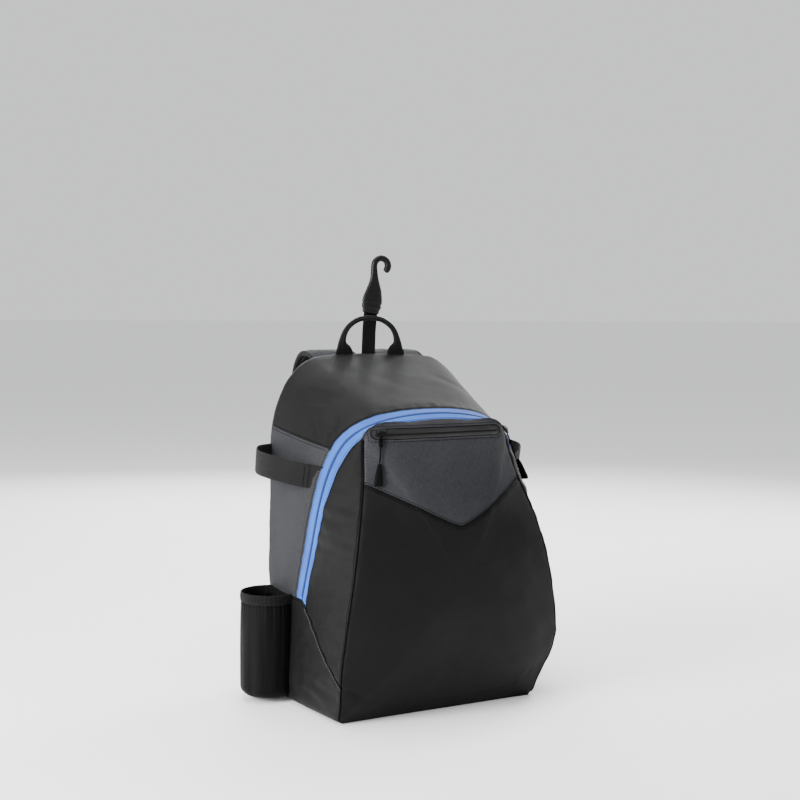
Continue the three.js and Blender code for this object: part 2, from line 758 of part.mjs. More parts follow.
// The bat sleeve: a round cup of cloth at the bag's side, cut off where it is sewn to the body.
function addSleeve(side, name) {
  const cup = (rows) => {
    const outline = rows.map(([r, z]) => new THREE.Vector2(r, z));
    const geometry = new THREE.LatheGeometry(outline, sleeveSides);
    geometry.rotateX(Math.PI / 2);
    geometry.translate(side * (halfWidth + sleeveOverhang), sleeveY, 0);
    return manifoldOf(geometry);
  };
  const r = sleeveRadius;
  const low = sleeveFloorGap;
  const top = sleeveHeight - bindingHeight - seamGap;
  const foot = [0.25, 0.5, 0.75].map((share) => (share * Math.PI) / 2);
  const round = (radius, floor, angles) =>
    angles.map((a) => [r - sleeveFootRound + radius * Math.sin(a), floor + radius * (1 - Math.cos(a))]);
  const innerRound = sleeveFootRound - sleeveWall;
  const profile = [
    [0, low],
    [r - sleeveFootRound, low],
    ...round(sleeveFootRound, low, foot),
    [r, low + sleeveFootRound],
    [r, top],
    [r - sleeveWall, top],
    [r - sleeveWall, low + sleeveFootRound],
    ...round(innerRound, low + sleeveWall, [...foot].reverse()),
    [r - sleeveFootRound, low + sleeveWall],
    [0, low + sleeveWall],
  ];
  addPart("bat_sleeve_" + name, cup(profile).subtract(bodyGrown), blackCloth);

  const middle = r - sleeveWall / 2;
  const half = bindingThickness / 2;
  const rim = [
    [middle - half, sleeveHeight - bindingHeight],
    [middle + half, sleeveHeight - bindingHeight],
    [middle + half, sleeveHeight - half],
    [middle, sleeveHeight],
    [middle - half, sleeveHeight - half],
    [middle - half, sleeveHeight - bindingHeight],
  ];
  addPart("sleeve_binding_" + name, cup(rim).subtract(bodyGrown), charcoalElastic);
}

// The bat strap: an elastic band from the zip's rear edge, round a bat's barrel, to the back seam.
// x is a share of the strap's reach off the body, y a share of the run from the zip to the back
// seam, and fall a share of its drop towards the front.
const batStrapRows = [
  { x: -0.5, y: -0.06, fall: 1.1 },
  { x: -0.14, y: 0, fall: 1 },
  { x: 0.12, y: 0.1, fall: 0.86 },
  { x: 0.62, y: 0.3, fall: 0.55 },
  { x: 0.96, y: 0.5, fall: 0.22 },
  { x: 1, y: 0.68, fall: 0.06 },
  { x: 0.72, y: 0.86, fall: 0 },
  { x: 0.22, y: 0.955, fall: 0 },
  { x: -0.4, y: 0.98, fall: 0 },
];

function addBatStrap(side, name) {
  const wallX = halfWidth * batStrapRoot;
  const frontY = zipY(batStrapHeight - batStrapDrop) + zipTapeWidth + seamGap;
  const rows = batStrapRows.map((row) => ({
    at: point(
      side * (wallX + row.x * batStrapReach),
      mix(frontY, backSeamY, row.y),
      batStrapHeight - row.fall * batStrapDrop,
    ),
    wide: point(0, -0.3 * row.fall, 1).normalize(),
    width: batStrapWidth,
    thickness: batStrapThickness,
  }));
  const band = sweep(smoothStations(rows, batStrapSteps), bandSides).subtract(bodyGrown);
  addPart("bat_strap_" + name, largest(band), charcoalElastic);
}

// The largest body of a solid that a cut has left in pieces.
function largest(solid) {
  return solid.decompose().reduce((most, piece) => (piece.volume() > most.volume() ? piece : most));
}

// The padded shoulder strap's line: out is a share of the splay, behind of the reach behind the back
// panel, drop of the drop from the top, and width and thickness of the strap's own sizes.
const shoulderRows = [
  { out: 0, behind: -0.16, drop: 0.012, width: 1, thickness: 0.35 },
  { out: 0, behind: 0.18, drop: -0.012, width: 1, thickness: 0.85 },
  { out: 0.02, behind: 0.6, drop: -0.012, width: 1, thickness: 1 },
  { out: 0.06, behind: 0.9, drop: 0.045, width: 1, thickness: 1 },
  { out: 0.16, behind: 1.02, drop: 0.16, width: 1, thickness: 1 },
  { out: 0.45, behind: 1, drop: 0.38, width: 1, thickness: 1 },
  { out: 0.85, behind: 0.92, drop: 0.66, width: 0.97, thickness: 1 },
  { out: 1, behind: 0.82, drop: 0.88, width: 0.86, thickness: 0.95 },
  { out: 1, behind: 0.76, drop: 0.97, width: 0.66, thickness: 0.8 },
  { out: 1, behind: 0.75, drop: 1, width: 0.45, thickness: 0.6 },
];

// The lower webbing's line from the ladder lock to its anchor, in shares of the way between them.
const webbingRows = [
  { down: 0, out: 0, near: 0 },
  { down: 0.08, out: 0, near: 0 },
  { down: 0.35, out: 0.26, near: 0.2 },
  { down: 0.68, out: 0.74, near: 0.6 },
  { down: 0.9, out: 1, near: 0.98 },
  { down: 1, out: 1, near: 1 },
];

function addShoulderStrap(side, name) {
  const backFace = backSeamY + seamGap + backPanelThickness;
  const topZ = bagHeight - backEdgeRound;
  const topX = (strapSpacing + strapWidth) / 2;
  const rows = shoulderRows.map((row) => ({
    at: point(
      side * (topX + row.out * strapSplay),
      backFace + row.behind * strapReach,
      topZ - row.drop * strapDrop,
    ),
    wide: across,
    width: strapWidth * row.width,
    thickness: strapThickness * row.thickness,
  }));
  const pad = sweep(smoothStations(rows, strapSteps), padSides);
  addPart("shoulder_strap_" + name, largest(pad.subtract(bodyGrown)), blackPadding);

  const end = rows.at(-1).at;
  const lockTop = end.z - seamGap;
  const lockMiddle = point(end.x, end.y, lockTop - lockLength / 2);
  const halfLock = lowerWebbingWidth / 2 + lockWall;
  const inside = lowerWebbingWidth / 2 + socketClearance;
  const bar = lockWall / 2;
  const frame = block(
    lockMiddle.clone().add(point(-halfLock, -lockThickness / 2, -lockLength / 2)),
    lockMiddle.clone().add(point(halfLock, lockThickness / 2, lockLength / 2)),
  );
  const hole = (from, to) =>
    block(
      lockMiddle.clone().add(point(-inside, -lockThickness, from)),
      lockMiddle.clone().add(point(inside, lockThickness, to)),
    );
  const upper = hole(bar, lockLength / 2 - lockWall);
  const lower = hole(-lockLength / 2 + lockWall, -bar);
  addPart("ladder_lock_" + name, frame.subtract(upper).subtract(lower), blackPlastic);

  const anchorTop = point(
    side * (halfWidth - anchorInset),
    backFace + 2 * seamGap + lowerWebbingThickness / 2,
    anchorHeight,
  );
  const lowEdge = lockMiddle.z - lockLength / 2;
  const run = point(end.x, lockMiddle.y, lowEdge - seamGap);
  const landing = anchorTop.clone().add(point(0, 0, seamGap));
  const webbing = webbingRows.map((row) => ({
    at: point(
      mix(run.x, landing.x, row.out),
      mix(run.y, landing.y, row.near),
      mix(run.z, landing.z, row.down),
    ),
    wide: across,
    width: lowerWebbingWidth,
    thickness: lowerWebbingThickness,
  }));
  addPart("strap_webbing_" + name, sweep(webbing, bandSides), blackWebbing);

  const tab = [
    { drop: 0, width: 1.1 },
    { drop: 0.4, width: 1.5 },
    { drop: 0.75, width: 1.5 },
  ].map((row) => ({
    at: anchorTop.clone().add(point(0, 0, -row.drop * anchorLength)),
    wide: across,
    width: lowerWebbingWidth * row.width,
    thickness: lowerWebbingThickness,
  }));
  addPart("strap_anchor_" + name, sweep(tab, bandSides), blackWebbing);
}

// The grab handle: webbing laid flat at its two sewn feet and folded round along the arch. side is a
// share of half the span, rise of the rise, and flat says how far the webbing is laid flat.
const handleRows = [
  { side: -0.9, rise: -0.06, flat: 1 },
  { side: -0.93, rise: 0.1, flat: 0.85 },
  { side: -0.98, rise: 0.34, flat: 0.2 },
  { side: -0.82, rise: 0.7, flat: 0 },
  { side: -0.45, rise: 0.94, flat: 0 },
  { side: 0, rise: 1, flat: 0 },
  { side: 0.45, rise: 0.94, flat: 0 },
  { side: 0.84, rise: 0.7, flat: 0 },
  { side: 1, rise: 0.34, flat: 0.2 },
  { side: 0.96, rise: 0.1, flat: 0.85 },
  { side: 0.94, rise: -0.06, flat: 1 },
];

function addHandle() {
  const footZ = bagHeight - backEdgeRound / 2;
  const rows = handleRows.map((row) => ({
    at: point(handleShift + (row.side * handleSpan) / 2, handleY, footZ + row.rise * handleRise),
    wide: across,
    width: mix(handleThickness, handleFootWidth, row.flat),
    thickness: mix(handleThickness, handleWebbing, row.flat),
  }));
  const handle = sweepUpright(smoothStations(rows, handleSteps), padSides);
  addPart("grab_handle", largest(handle.subtract(bodyGrown)), blackWebbing);
}

// The fence hook: a flattened body over the strap's end, a stem and a curl that opens to one side.
// z is a share of the height to the curl, x and width are shares of the hook's width.
const hookRows = [
  { z: 0, x: 0.04, width: 0.74, thickness: 0.8 },
  { z: 0.16, x: 0.15, width: 0.95, thickness: 0.95 },
  { z: 0.27, x: 0.2, width: 1, thickness: 1 },
  { z: 0.48, x: 0.28, width: 0.76, thickness: 0.9 },
  { z: 0.7, x: 0.3, width: 0.43, thickness: 0.75 },
  { z: 0.86, x: 0.29, width: 0.3, thickness: 0.7 },
];

function addHook() {
  const strapY = handleY + handleThickness / 2 + hookThickness / 2 + 2 * seamGap;
  const strapFoot = bagHeight - backEdgeRound;
  const strapTop = strapFoot + hookStrapLength;
  const hookFoot = strapTop - hookSocketDepth;
  const strap = block(
    point(hookShift - hookStrapWidth / 2, strapY - hookStrapThickness / 2, strapFoot - 2 * backEdgeRound),
    point(hookShift + hookStrapWidth / 2, strapY + hookStrapThickness / 2, strapTop),
  );
  addPart("hook_strap", largest(strap.subtract(bodyGrown)), blackWebbing);

  const curlMiddle = hookHeight - hookCurlHeight / 2 - hookWire / 2;
  const bodyStations = hookRows.map((row) => ({
    at: point(hookShift + row.x * hookWidth, strapY, hookFoot + row.z * curlMiddle),
    width: row.width * hookWidth,
    thickness: row.thickness * hookThickness,
  }));
  const curlX = bodyStations.at(-1).at.x + hookCurlWidth / 2;
  const turns = [180, 150, 120, 90, 60, 30, 0, -30, -52];
  const curlStations = turns.map((degrees) => {
    const angle = THREE.MathUtils.degToRad(degrees);
    return {
      at: point(
        curlX + (hookCurlWidth / 2) * Math.cos(angle),
        strapY,
        hookFoot + curlMiddle + (hookCurlHeight / 2) * Math.sin(angle),
      ),
      width: hookWire,
      thickness: hookWire,
    };
  });
  const hook = sweepUpright([...bodyStations, ...curlStations], hookSides);
  const halfSocket = hookStrapWidth / 2 + socketClearance;
  const halfGap = hookStrapThickness / 2 + socketClearance;
  const socket = block(
    point(hookShift - halfSocket, strapY - halfGap, hookFoot - hookSocketDepth),
    point(hookShift + halfSocket, strapY + halfGap, strapTop + socketClearance),
  );
  addPart("fence_hook", hook.subtract(socket), blackPlastic);
}

addBody();
addMainZip();
addFrontPanel();
for (const [side, name] of [[-1, "left"], [1, "right"]]) {
  addSleeve(side, name);
  addBatStrap(side, name);
  addShoulderStrap(side, name);
}
addHandle();
addHook();

export default parts;
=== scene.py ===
import math

import bpy
import numpy as np
from mathutils import Matrix, Vector, noise
from mathutils.bvhtree import BVHTree
from mathutils.kdtree import KDTree


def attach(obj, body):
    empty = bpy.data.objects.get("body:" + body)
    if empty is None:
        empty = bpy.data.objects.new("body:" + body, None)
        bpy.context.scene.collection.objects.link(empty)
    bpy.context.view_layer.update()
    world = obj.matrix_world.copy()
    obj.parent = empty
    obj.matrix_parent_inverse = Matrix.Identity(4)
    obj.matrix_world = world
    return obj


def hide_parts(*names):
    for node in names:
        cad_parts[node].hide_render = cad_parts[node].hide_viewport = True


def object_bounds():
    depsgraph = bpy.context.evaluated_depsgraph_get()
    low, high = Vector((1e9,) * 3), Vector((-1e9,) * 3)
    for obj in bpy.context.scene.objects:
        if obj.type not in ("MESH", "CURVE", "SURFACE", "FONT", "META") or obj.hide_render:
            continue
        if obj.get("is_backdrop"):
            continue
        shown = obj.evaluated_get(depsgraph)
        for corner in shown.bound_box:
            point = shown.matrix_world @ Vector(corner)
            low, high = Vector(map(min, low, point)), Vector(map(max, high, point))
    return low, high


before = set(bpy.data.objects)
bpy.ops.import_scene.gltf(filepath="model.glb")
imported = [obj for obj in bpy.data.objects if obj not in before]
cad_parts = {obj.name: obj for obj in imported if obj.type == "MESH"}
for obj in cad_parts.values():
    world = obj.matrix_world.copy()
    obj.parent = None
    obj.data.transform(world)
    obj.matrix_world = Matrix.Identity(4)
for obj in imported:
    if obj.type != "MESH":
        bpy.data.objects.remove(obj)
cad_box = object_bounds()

# The shapes are worked out in millimetres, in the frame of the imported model, and turned to metres
# where the meshes are made.
MM = 0.001

# ---------------------------------------------------------------- camera, floor and light

YAW, PITCH, ROLL = math.radians(-29.7), math.radians(3.8), math.radians(0.5)
FOCAL_PIXELS, FRAME_PIXELS, SENSOR = 1406, 800, 36
CAMERA_PLACE = (-0.9, -1.5588, 0.497)
FLOOR_REACH = 40
# Each light: its name, its place, what it points at, its width and height, and its power
LIGHTS = [
    ("left", (-2.1, -0.35, 0.9), (0, 0, 0.22), (0.9, 1.6), 128),
    ("right", (1.6, 0.7, 1.4), (0, 0, 0.3), (0.8, 1.6), 42),
    ("top", (-0.2, 0.1, 2.2), (0, 0, 0.3), (1.4, 1.0), 48),
    ("back", (0.6, 2.0, 1.1), (0, 0, 0.25), (1.4, 1.0), 40),
]


def add_camera():
    backward = Vector((math.sin(YAW) * math.cos(PITCH), -math.cos(YAW) * math.cos(PITCH), math.sin(PITCH)))
    level = Vector((math.cos(YAW), math.sin(YAW), 0))
    upright = backward.cross(level)
    right = level * math.cos(ROLL) + upright * math.sin(ROLL)
    up = upright * math.cos(ROLL) - level * math.sin(ROLL)
    data = bpy.data.cameras.new("camera")
    data.sensor_width = SENSOR
    data.lens = FOCAL_PIXELS / FRAME_PIXELS * SENSOR
    camera = bpy.data.objects.new("camera", data)
    turned = Matrix((right, up, backward)).transposed().to_4x4()
    camera.matrix_world = Matrix.Translation(CAMERA_PLACE) @ turned
    bpy.context.scene.collection.objects.link(camera)
    bpy.context.scene.camera = camera


def add_light(name, place, target, size, power):
    data = bpy.data.lights.new(name, "AREA")
    data.shape = "RECTANGLE"
    data.size, data.size_y = size
    data.energy = power
    light = bpy.data.objects.new(name, data)
    aim = Vector(target) - Vector(place)
    light.matrix_world = Matrix.Translation(place) @ aim.to_track_quat("-Z", "Y").to_matrix().to_4x4()
    bpy.context.scene.collection.objects.link(light)


def add_studio():
    world = bpy.data.worlds.new("studio")
    bpy.context.scene.world = world
    world.use_nodes = True
    background = world.node_tree.nodes["Background"]
    background.inputs["Color"].default_value = (0.97, 0.98, 1.0, 1)
    background.inputs["Strength"].default_value = 0.95
    for light in LIGHTS:
        add_light(*light)

    mesh = bpy.data.meshes.new("floor")
    corners = [(x * FLOOR_REACH, y * FLOOR_REACH, 0) for x, y in ((-1, -1), (1, -1), (1, 1), (-1, 1))]
    mesh.from_pydata(corners, [], [(0, 1, 2, 3)])
    floor = bpy.data.objects.new("floor", mesh)
    bpy.context.scene.collection.objects.link(floor)
    look = bpy.data.materials.new("pale_floor")
    look.use_nodes = True
    shader = look.node_tree.nodes["Principled BSDF"]
    shader.inputs["Base Color"].default_value = (0.9, 0.9, 0.9, 1)
    shader.inputs["Roughness"].default_value = 0.7
    mesh.materials.append(look)
    floor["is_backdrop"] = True


# ---------------------------------------------------------------- materials


# The scale at which a wave texture has one wave for each unit of its coordinates
WAVE_PER_UNIT = math.pi / 10


class Graph:
    """A material's nodes, added one at a time, each with what feeds it."""

    def __init__(self, name):
        self.look = bpy.data.materials.new(name)
        self.look.use_nodes = True
        self.tree = self.look.node_tree
        self.shader = self.tree.nodes["Principled BSDF"]

    def add(self, kind, feeds=None, **settings):
        node = self.tree.nodes.new(kind)
        for key, value in settings.items():
            setattr(node, key, value)
        for key, value in (feeds or {}).items():
            self.feed(node.inputs[key], value)
        return node

    def feed(self, socket, value):
        if isinstance(value, bpy.types.NodeSocket):
            self.tree.links.new(value, socket)
        else:
            socket.default_value = value

    def maths(self, operation, a, b):
        return self.add("ShaderNodeMath", {0: a, 1: b}, operation=operation).outputs[0]

    def blend(self, share, a, b):
        node = self.add("ShaderNodeMix", data_type="RGBA")
        for socket, value in ((node.inputs[0], share), (node.inputs[6], a), (node.inputs[7], b)):
            self.feed(socket, value)
        return node.outputs[2]

    def noise(self, where, scale, detail=3.0, rough=0.55):
        feeds = {"Vector": where, "Scale": scale, "Detail": detail, "Roughness": rough}
        return self.add("ShaderNodeTexNoise", feeds).outputs["Fac"]

    def spread(self, value, low, high, to_low=0.0, to_high=1.0):
        feeds = {"Value": value, "From Min": low, "From Max": high, "To Min": to_low, "To Max": to_high}
        return self.add("ShaderNodeMapRange", feeds).outputs[0]

    def wave(self, where, direction, distortion, finer=1, **more):
        feeds = {"Vector": where, "Scale": finer * WAVE_PER_UNIT, "Distortion": distortion, **more}
        return self.add("ShaderNodeTexWave", feeds, bands_direction=direction).outputs["Fac"]

    def finish(self, share, colours, dull, relief, values):
        """Mixes the two colours by share, and sets roughness, bump and the shader's plain values."""
        clear = self.add("ShaderNodeClamp", {0: share}).outputs[0]
        height, strength, distance = relief
        feeds = {"Height": height, "Strength": strength, "Distance": distance}
        values["Base Color"] = self.blend(clear, *colours)
        values["Roughness"] = dull
        values["Normal"] = self.add("ShaderNodeBump", feeds).outputs[0]
        for key, value in values.items():
            self.feed(self.shader.inputs[key], value)
        return self.look


def grey(level, tint=(1, 1, 1)):
    """An sRGB level of 0 to 255 with a tint, as the linear colour that a shader takes."""
    linear = [((level * t / 255 + 0.055) / 1.055) ** 2.4 for t in tint]
    return (*linear, 1)


def threads(graph, across, along, turn=0.0):
    """The cloth's own coordinates, counted in threads."""
    cloth = graph.add("ShaderNodeUVMap", uv_map="cloth").outputs[0]
    feeds = {"Vector": cloth, "Rotation": (0, 0, turn), "Scale": (1 / (across * MM), 1 / (along * MM), 1)}
    return graph.add("ShaderNodeMapping", feeds).outputs[0]


def weave(graph, where):
    """The height of a plain weave: over and under, in the two directions by turns."""
    waves = [graph.wave(where, direction, 0.6, Detail=1.0) for direction in ("X", "Y")]
    turns = graph.add("ShaderNodeTexChecker", {"Vector": where, "Scale": 1.0}).outputs["Fac"]
    mixed = graph.add("ShaderNodeMix", {0: turns, 2: waves[0], 3: waves[1]}, data_type="FLOAT")
    return mixed.outputs[0]


def cloth_look(name, base, lit, thread, roughness, heather, bump, sheen=0.25, gloss=0.25):
    """Woven cloth: its threads, their uneven dye, soft wear and a rubbed edge, with painted shade in the
    hollows between the threads.
    """
    graph = Graph(name)
    where = threads(graph, thread, thread)
    height = weave(graph, where)
    place = graph.add("ShaderNodeTexCoord").outputs["Object"]
    warp = graph.noise(threads(graph, 0.7 * thread, 7 * thread), 1.0, 2.0)
    weft = graph.noise(threads(graph, 7 * thread, 0.7 * thread), 1.0, 2.0)
    streak = graph.maths("MULTIPLY", graph.maths("ADD", warp, weft), 0.5)
    cloud = graph.noise(place, 9.0)
    mottle = graph.spread(cloud, 0.3, 0.7, 0, 0.3)
    dye = graph.maths("ADD", graph.spread(streak, 0.35, 0.65, 0, heather), mottle)
    worn = graph.add("ShaderNodeNewGeometry").outputs["Pointiness"]
    edge = graph.spread(worn, 0.52, 0.6, 0, 0.35)
    # The weave's height also lightens the colour on the threads' tops: painted shade in the hollows between
    # them.
    share = graph.maths("ADD", graph.maths("ADD", dye, edge), graph.maths("MULTIPLY", height, 0.25))
    dull = graph.spread(cloud, 0.3, 0.7, roughness - 0.06, roughness + 0.08)
    relief = graph.maths("ADD", height, graph.maths("MULTIPLY", streak, 0.6))
    values = {"Sheen Weight": sheen, "Sheen Roughness": 0.45, "Specular IOR Level": gloss}
    return graph.finish(share, (base, lit), dull, (relief, bump, 0.3 * thread * MM), values)


def ribbed_look(name, base, lit, rib, turn, roughness, bump, sheen=0.05, gloss=0.12):
    """Webbing, tape and elastic: fine ribs at a slant, each broken into single threads, with painted shade in
    the grooves between the ribs.
    """
    graph = Graph(name)
    where = threads(graph, rib, rib, turn)
    ribs, bits = graph.wave(where, "X", 0.3), graph.wave(where, "Y", 0.5, 2)
    height = graph.maths("MULTIPLY", ribs, graph.spread(bits, 0, 1, 0.6, 1))
    cloud = graph.noise(graph.add("ShaderNodeTexCoord").outputs["Object"], 30.0)
    mottle = graph.spread(cloud, 0.3, 0.7, -0.1, 0.3)
    # The ribs' height lightens the colour on their tops: painted shade in the grooves between them.
    share = graph.maths("ADD", graph.maths("MULTIPLY", height, 0.7), mottle)
    dull = graph.spread(cloud, 0.3, 0.7, roughness - 0.05, roughness + 0.08)
    values = {"Sheen Weight": sheen, "Specular IOR Level": gloss}
    return graph.finish(share, (base, lit), dull, (height, bump, 0.35 * rib * MM), values)


def moulded_look(name, base, lit, roughness, gloss):
    """Moulded plastic, rubber or painted metal: fine grain, handled edges and faint scuffs."""
    graph = Graph(name)
    place = graph.add("ShaderNodeTexCoord").outputs["Object"]
    grain = graph.noise(place, 2200.0, 2.0)
    scuff = graph.noise(place, 160.0, 6.0, 0.7)
    worn = graph.add("ShaderNodeNewGeometry").outputs["Pointiness"]
    scuffed = graph.spread(scuff, 0.5, 0.75, 0, 0.25)
    share = graph.maths("ADD", graph.spread(worn, 0.5, 0.62, 0, 0.8), scuffed)
    dull = graph.spread(scuff, 0.3, 0.8, roughness - 0.05, roughness + 0.15)
    values = {"Specular IOR Level": gloss}
    return graph.finish(share, (base, lit), dull, (grain, 0.25, 0.06 * MM), values)


# ---------------------------------------------------------------- sheets of cloth as meshes


def unit(vectors):
    return vectors / np.maximum(np.linalg.norm(vectors, axis=-1, keepdims=True), 1e-9)


def mix(a, b, share):
    return a + (b - a) * share


class Sheet:
    """Corners with their normals and fields, and faces with the cloth coordinates of their corners."""

    def __init__(self, points, normals, faces, uvs, fields=None):
        self.points, self.normals = points, normals
        self.faces, self.uvs = faces, uvs
        self.fields = fields or {}

    def clip(self, name, level=0.0, side=1):
        """The part where the field is above the level, or below it where side is -1."""
        value = side * (self.fields[name] - level)
        inside = value > 0
        index, source, faces, uvs = {}, [], [], []

        def corner(i, j):
            key = (min(i, j), max(i, j))
            if key not in index:
                a, b = key
                index[key] = len(source)
                source.append((a, b, 0.0 if a == b else value[a] / (value[a] - value[b])))
            return index[key]

        for face, uv in zip(self.faces, self.uvs):
            kept = [inside[i] for i in face]
            if all(kept):
                faces.append([corner(i, i) for i in face])
                uvs.append(uv)
                continue
            if not any(kept):
                continue
            corners, places = [], []
            for k, i in enumerate(face):
                j = face[(k + 1) % len(face)]
                if inside[i]:
                    corners.append(corner(i, i))
                    places.append(uv[k])
                if inside[i] != inside[j]:
                    share = value[i] / (value[i] - value[j])
                    corners.append(corner(i, j))
                    places.append(mix(uv[k], uv[(k + 1) % len(face)], share))
            if len(corners) > 2:
                faces.append(corners)
                uvs.append(np.array(places))
        a, b, share = np.array(source).T
        a, b = a.astype(int), b.astype(int)
        taken = lambda array: mix(array[a], array[b], share.reshape(-1, *[1] * (array.ndim - 1)))
        fields = {key: taken(array) for key, array in self.fields.items()}
        return Sheet(taken(self.points), unit(taken(self.normals)), faces, uvs, fields)

    def joined(self, other):
        """Both sheets as one, with the corners that lie in one place made one."""
        points = np.vstack([self.points, other.points])
        normals = np.vstack([self.normals, other.normals])
        fields = {key: np.concatenate([self.fields[key], other.fields[key]]) for key in self.fields}
        first, index = {}, []
        for i, key in enumerate(map(tuple, np.round(points, 3))):
            index.append(first.setdefault(key, i))
        shift = len(self.points)
        faces = [[index[i] for i in face] for face in self.faces]
        faces += [[index[i + shift] for i in face] for face in other.faces]
        return Sheet(points, normals, faces, self.uvs + other.uvs, fields)

    def thickened(self, thickness):
        """The sheet as a closed body, with its thickness on the inner side."""
        count = len(self.points)
        points = np.vstack([self.points, self.points - self.normals * thickness])
        edges = {}
        for face, uv in zip(self.faces, self.uvs):
            for k, i in enumerate(face):
                edges[(i, face[(k + 1) % len(face)])] = uv[k]
        faces = list(self.faces) + [[i + count for i in reversed(face)] for face in self.faces]
        uvs = list(self.uvs) + [uv[::-1] for uv in self.uvs]
        for (i, j), uv in edges.items():
            if (j, i) not in edges:
                faces.append([j, i, i + count, j + count])
                uvs.append(np.array([uv, uv, uv + 0.5, uv + 0.5]))
        return Sheet(points, np.vstack([self.normals, -self.normals]), faces, uvs)


SHARP_ANGLE = math.radians(50)


def add_piece(name, sheet, look, nodes=()):
    """A Blender object of a closed body, riding on the bag."""
    used = sorted({i for face in sheet.faces for i in face})
    place = {old: new for new, old in enumerate(used)}
    mesh = bpy.data.meshes.new(name)
    faces = [[place[i] for i in face] for face in sheet.faces]
    mesh.from_pydata((sheet.points[used] * MM).tolist(), [], faces)
    layer = mesh.uv_layers.new(name="cloth")
    layer.data.foreach_set("uv", (np.concatenate([np.asarray(uv) for uv in sheet.uvs]) * MM).ravel())
    mesh.polygons.foreach_set("use_smooth", [True] * len(mesh.polygons))
    mesh.set_sharp_from_angle(angle=SHARP_ANGLE)
    mesh.materials.append(look)
    made = bpy.data.objects.new(name, mesh)
    bpy.context.scene.collection.objects.link(made)
    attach(made, "root")
    if nodes:
        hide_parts(*nodes)
    return made


class Grid:
    """Rows and columns of places on one smooth surface. The columns of a closed grid meet again."""

    def __init__(self, points, closed):
        self.points, self.closed = points, closed
        self.rows, self.columns = points.shape[:2]
        self.normals = self.find_normals()
        down = np.linalg.norm(np.diff(points, axis=0), axis=2)
        self.run = np.vstack([np.zeros(self.columns), np.cumsum(down, axis=0)])
        round_about = np.roll(points, -1, axis=1) - points
        steps = np.linalg.norm(round_about, axis=2).mean(axis=0)
        self.way = np.concatenate([[0], np.cumsum(steps)])
        self.fields = {}

    def find_normals(self):
        points = self.points
        if self.closed:
            along = np.roll(points, -1, axis=1) - np.roll(points, 1, axis=1)
        else:
            along = np.gradient(points, axis=1)
        return unit(np.cross(along, np.gradient(points, axis=0)))

    def sheet(self, first=0, last=None, flat_uv=False):
        """The rows from first to last as a sheet with all the grid's fields."""
        last = self.rows - 1 if last is None else last
        spans = self.columns if self.closed else self.columns - 1
        faces, uvs = [], []
        for r in range(first, last):
            for c in range(spans):
                d = (c + 1) % self.columns
                face = [(r, c), (r, d), (r + 1, d), (r + 1, c)]
                if flat_uv:
                    uv = [self.points[at][[0, 2]] for at in face]
                else:
                    ways = (self.way[c], self.way[c + 1], self.way[c + 1], self.way[c])
                    uv = [(way, self.run[at]) for way, at in zip(ways, face)]
                faces.append([(q - first) * self.columns + e for q, e in face])
                uvs.append(np.array(uv))
        part = slice(first, last + 1)
        fields = {key: array[part].ravel() for key, array in self.fields.items()}
        flat = lambda array: array[part].reshape(-1, 3)
        return Sheet(flat(self.points), flat(self.normals), faces, uvs, fields)

    def lines(self, field, level=0.0, first=0):
        """The lines on the surface along which the field has the level: places, normals, fields."""
        value = field - level
        above = value > 0
        links = {}
        spans = self.columns if self.closed else self.columns - 1
        for r in range(first, self.rows - 1):
            mixed = np.nonzero(
                (above[r] != np.roll(above[r], -1)) | (above[r + 1] != np.roll(above[r + 1], -1))
                | (above[r] != above[r + 1])
            )[0]
            for c in mixed:
                if c >= spans:
                    continue
                d = (c + 1) % self.columns
                ring = [(r, c), (r, d), (r + 1, d), (r + 1, c)]
                crossed = [
                    tuple(sorted((ring[k], ring[(k + 1) % 4])))
                    for k in range(4)
                    if above[ring[k]] != above[ring[(k + 1) % 4]]
                ]
                for a, b in zip(crossed[::2], crossed[1::2]):
                    links.setdefault(a, []).append(b)
                    links.setdefault(b, []).append(a)
        found, seen = [], set()
        ends = [key for key, near in links.items() if len(near) == 1]
        for start in ends + list(links):
            if start in seen:
                continue
            chain, here = [], start
            while here is not None:
                seen.add(here)
                chain.append(here)
                here = next((k for k in links[here] if k not in seen), None)
            if start in links[chain[-1]] and len(chain) > 2:
                chain.append(start)
            found.append(self.read(chain, value))
        return found

    def parts(self, field, level, keep):
        """The stretches of a field's lines for which keep says yes."""
        return [part for line in self.lines(self.fields[field], level) for part in line.where(keep)]

    def read(self, chain, value):
        a = tuple(np.array([key[0] for key in chain]).T)
        b = tuple(np.array([key[1] for key in chain]).T)
        share = value[a] / (value[a] - value[b])
        across = share[:, None]
        fields = {key: mix(array[a], array[b], share) for key, array in self.fields.items()}
        normals = unit(mix(self.normals[a], self.normals[b], across))
        return Line(mix(self.points[a], self.points[b], across), normals, fields)


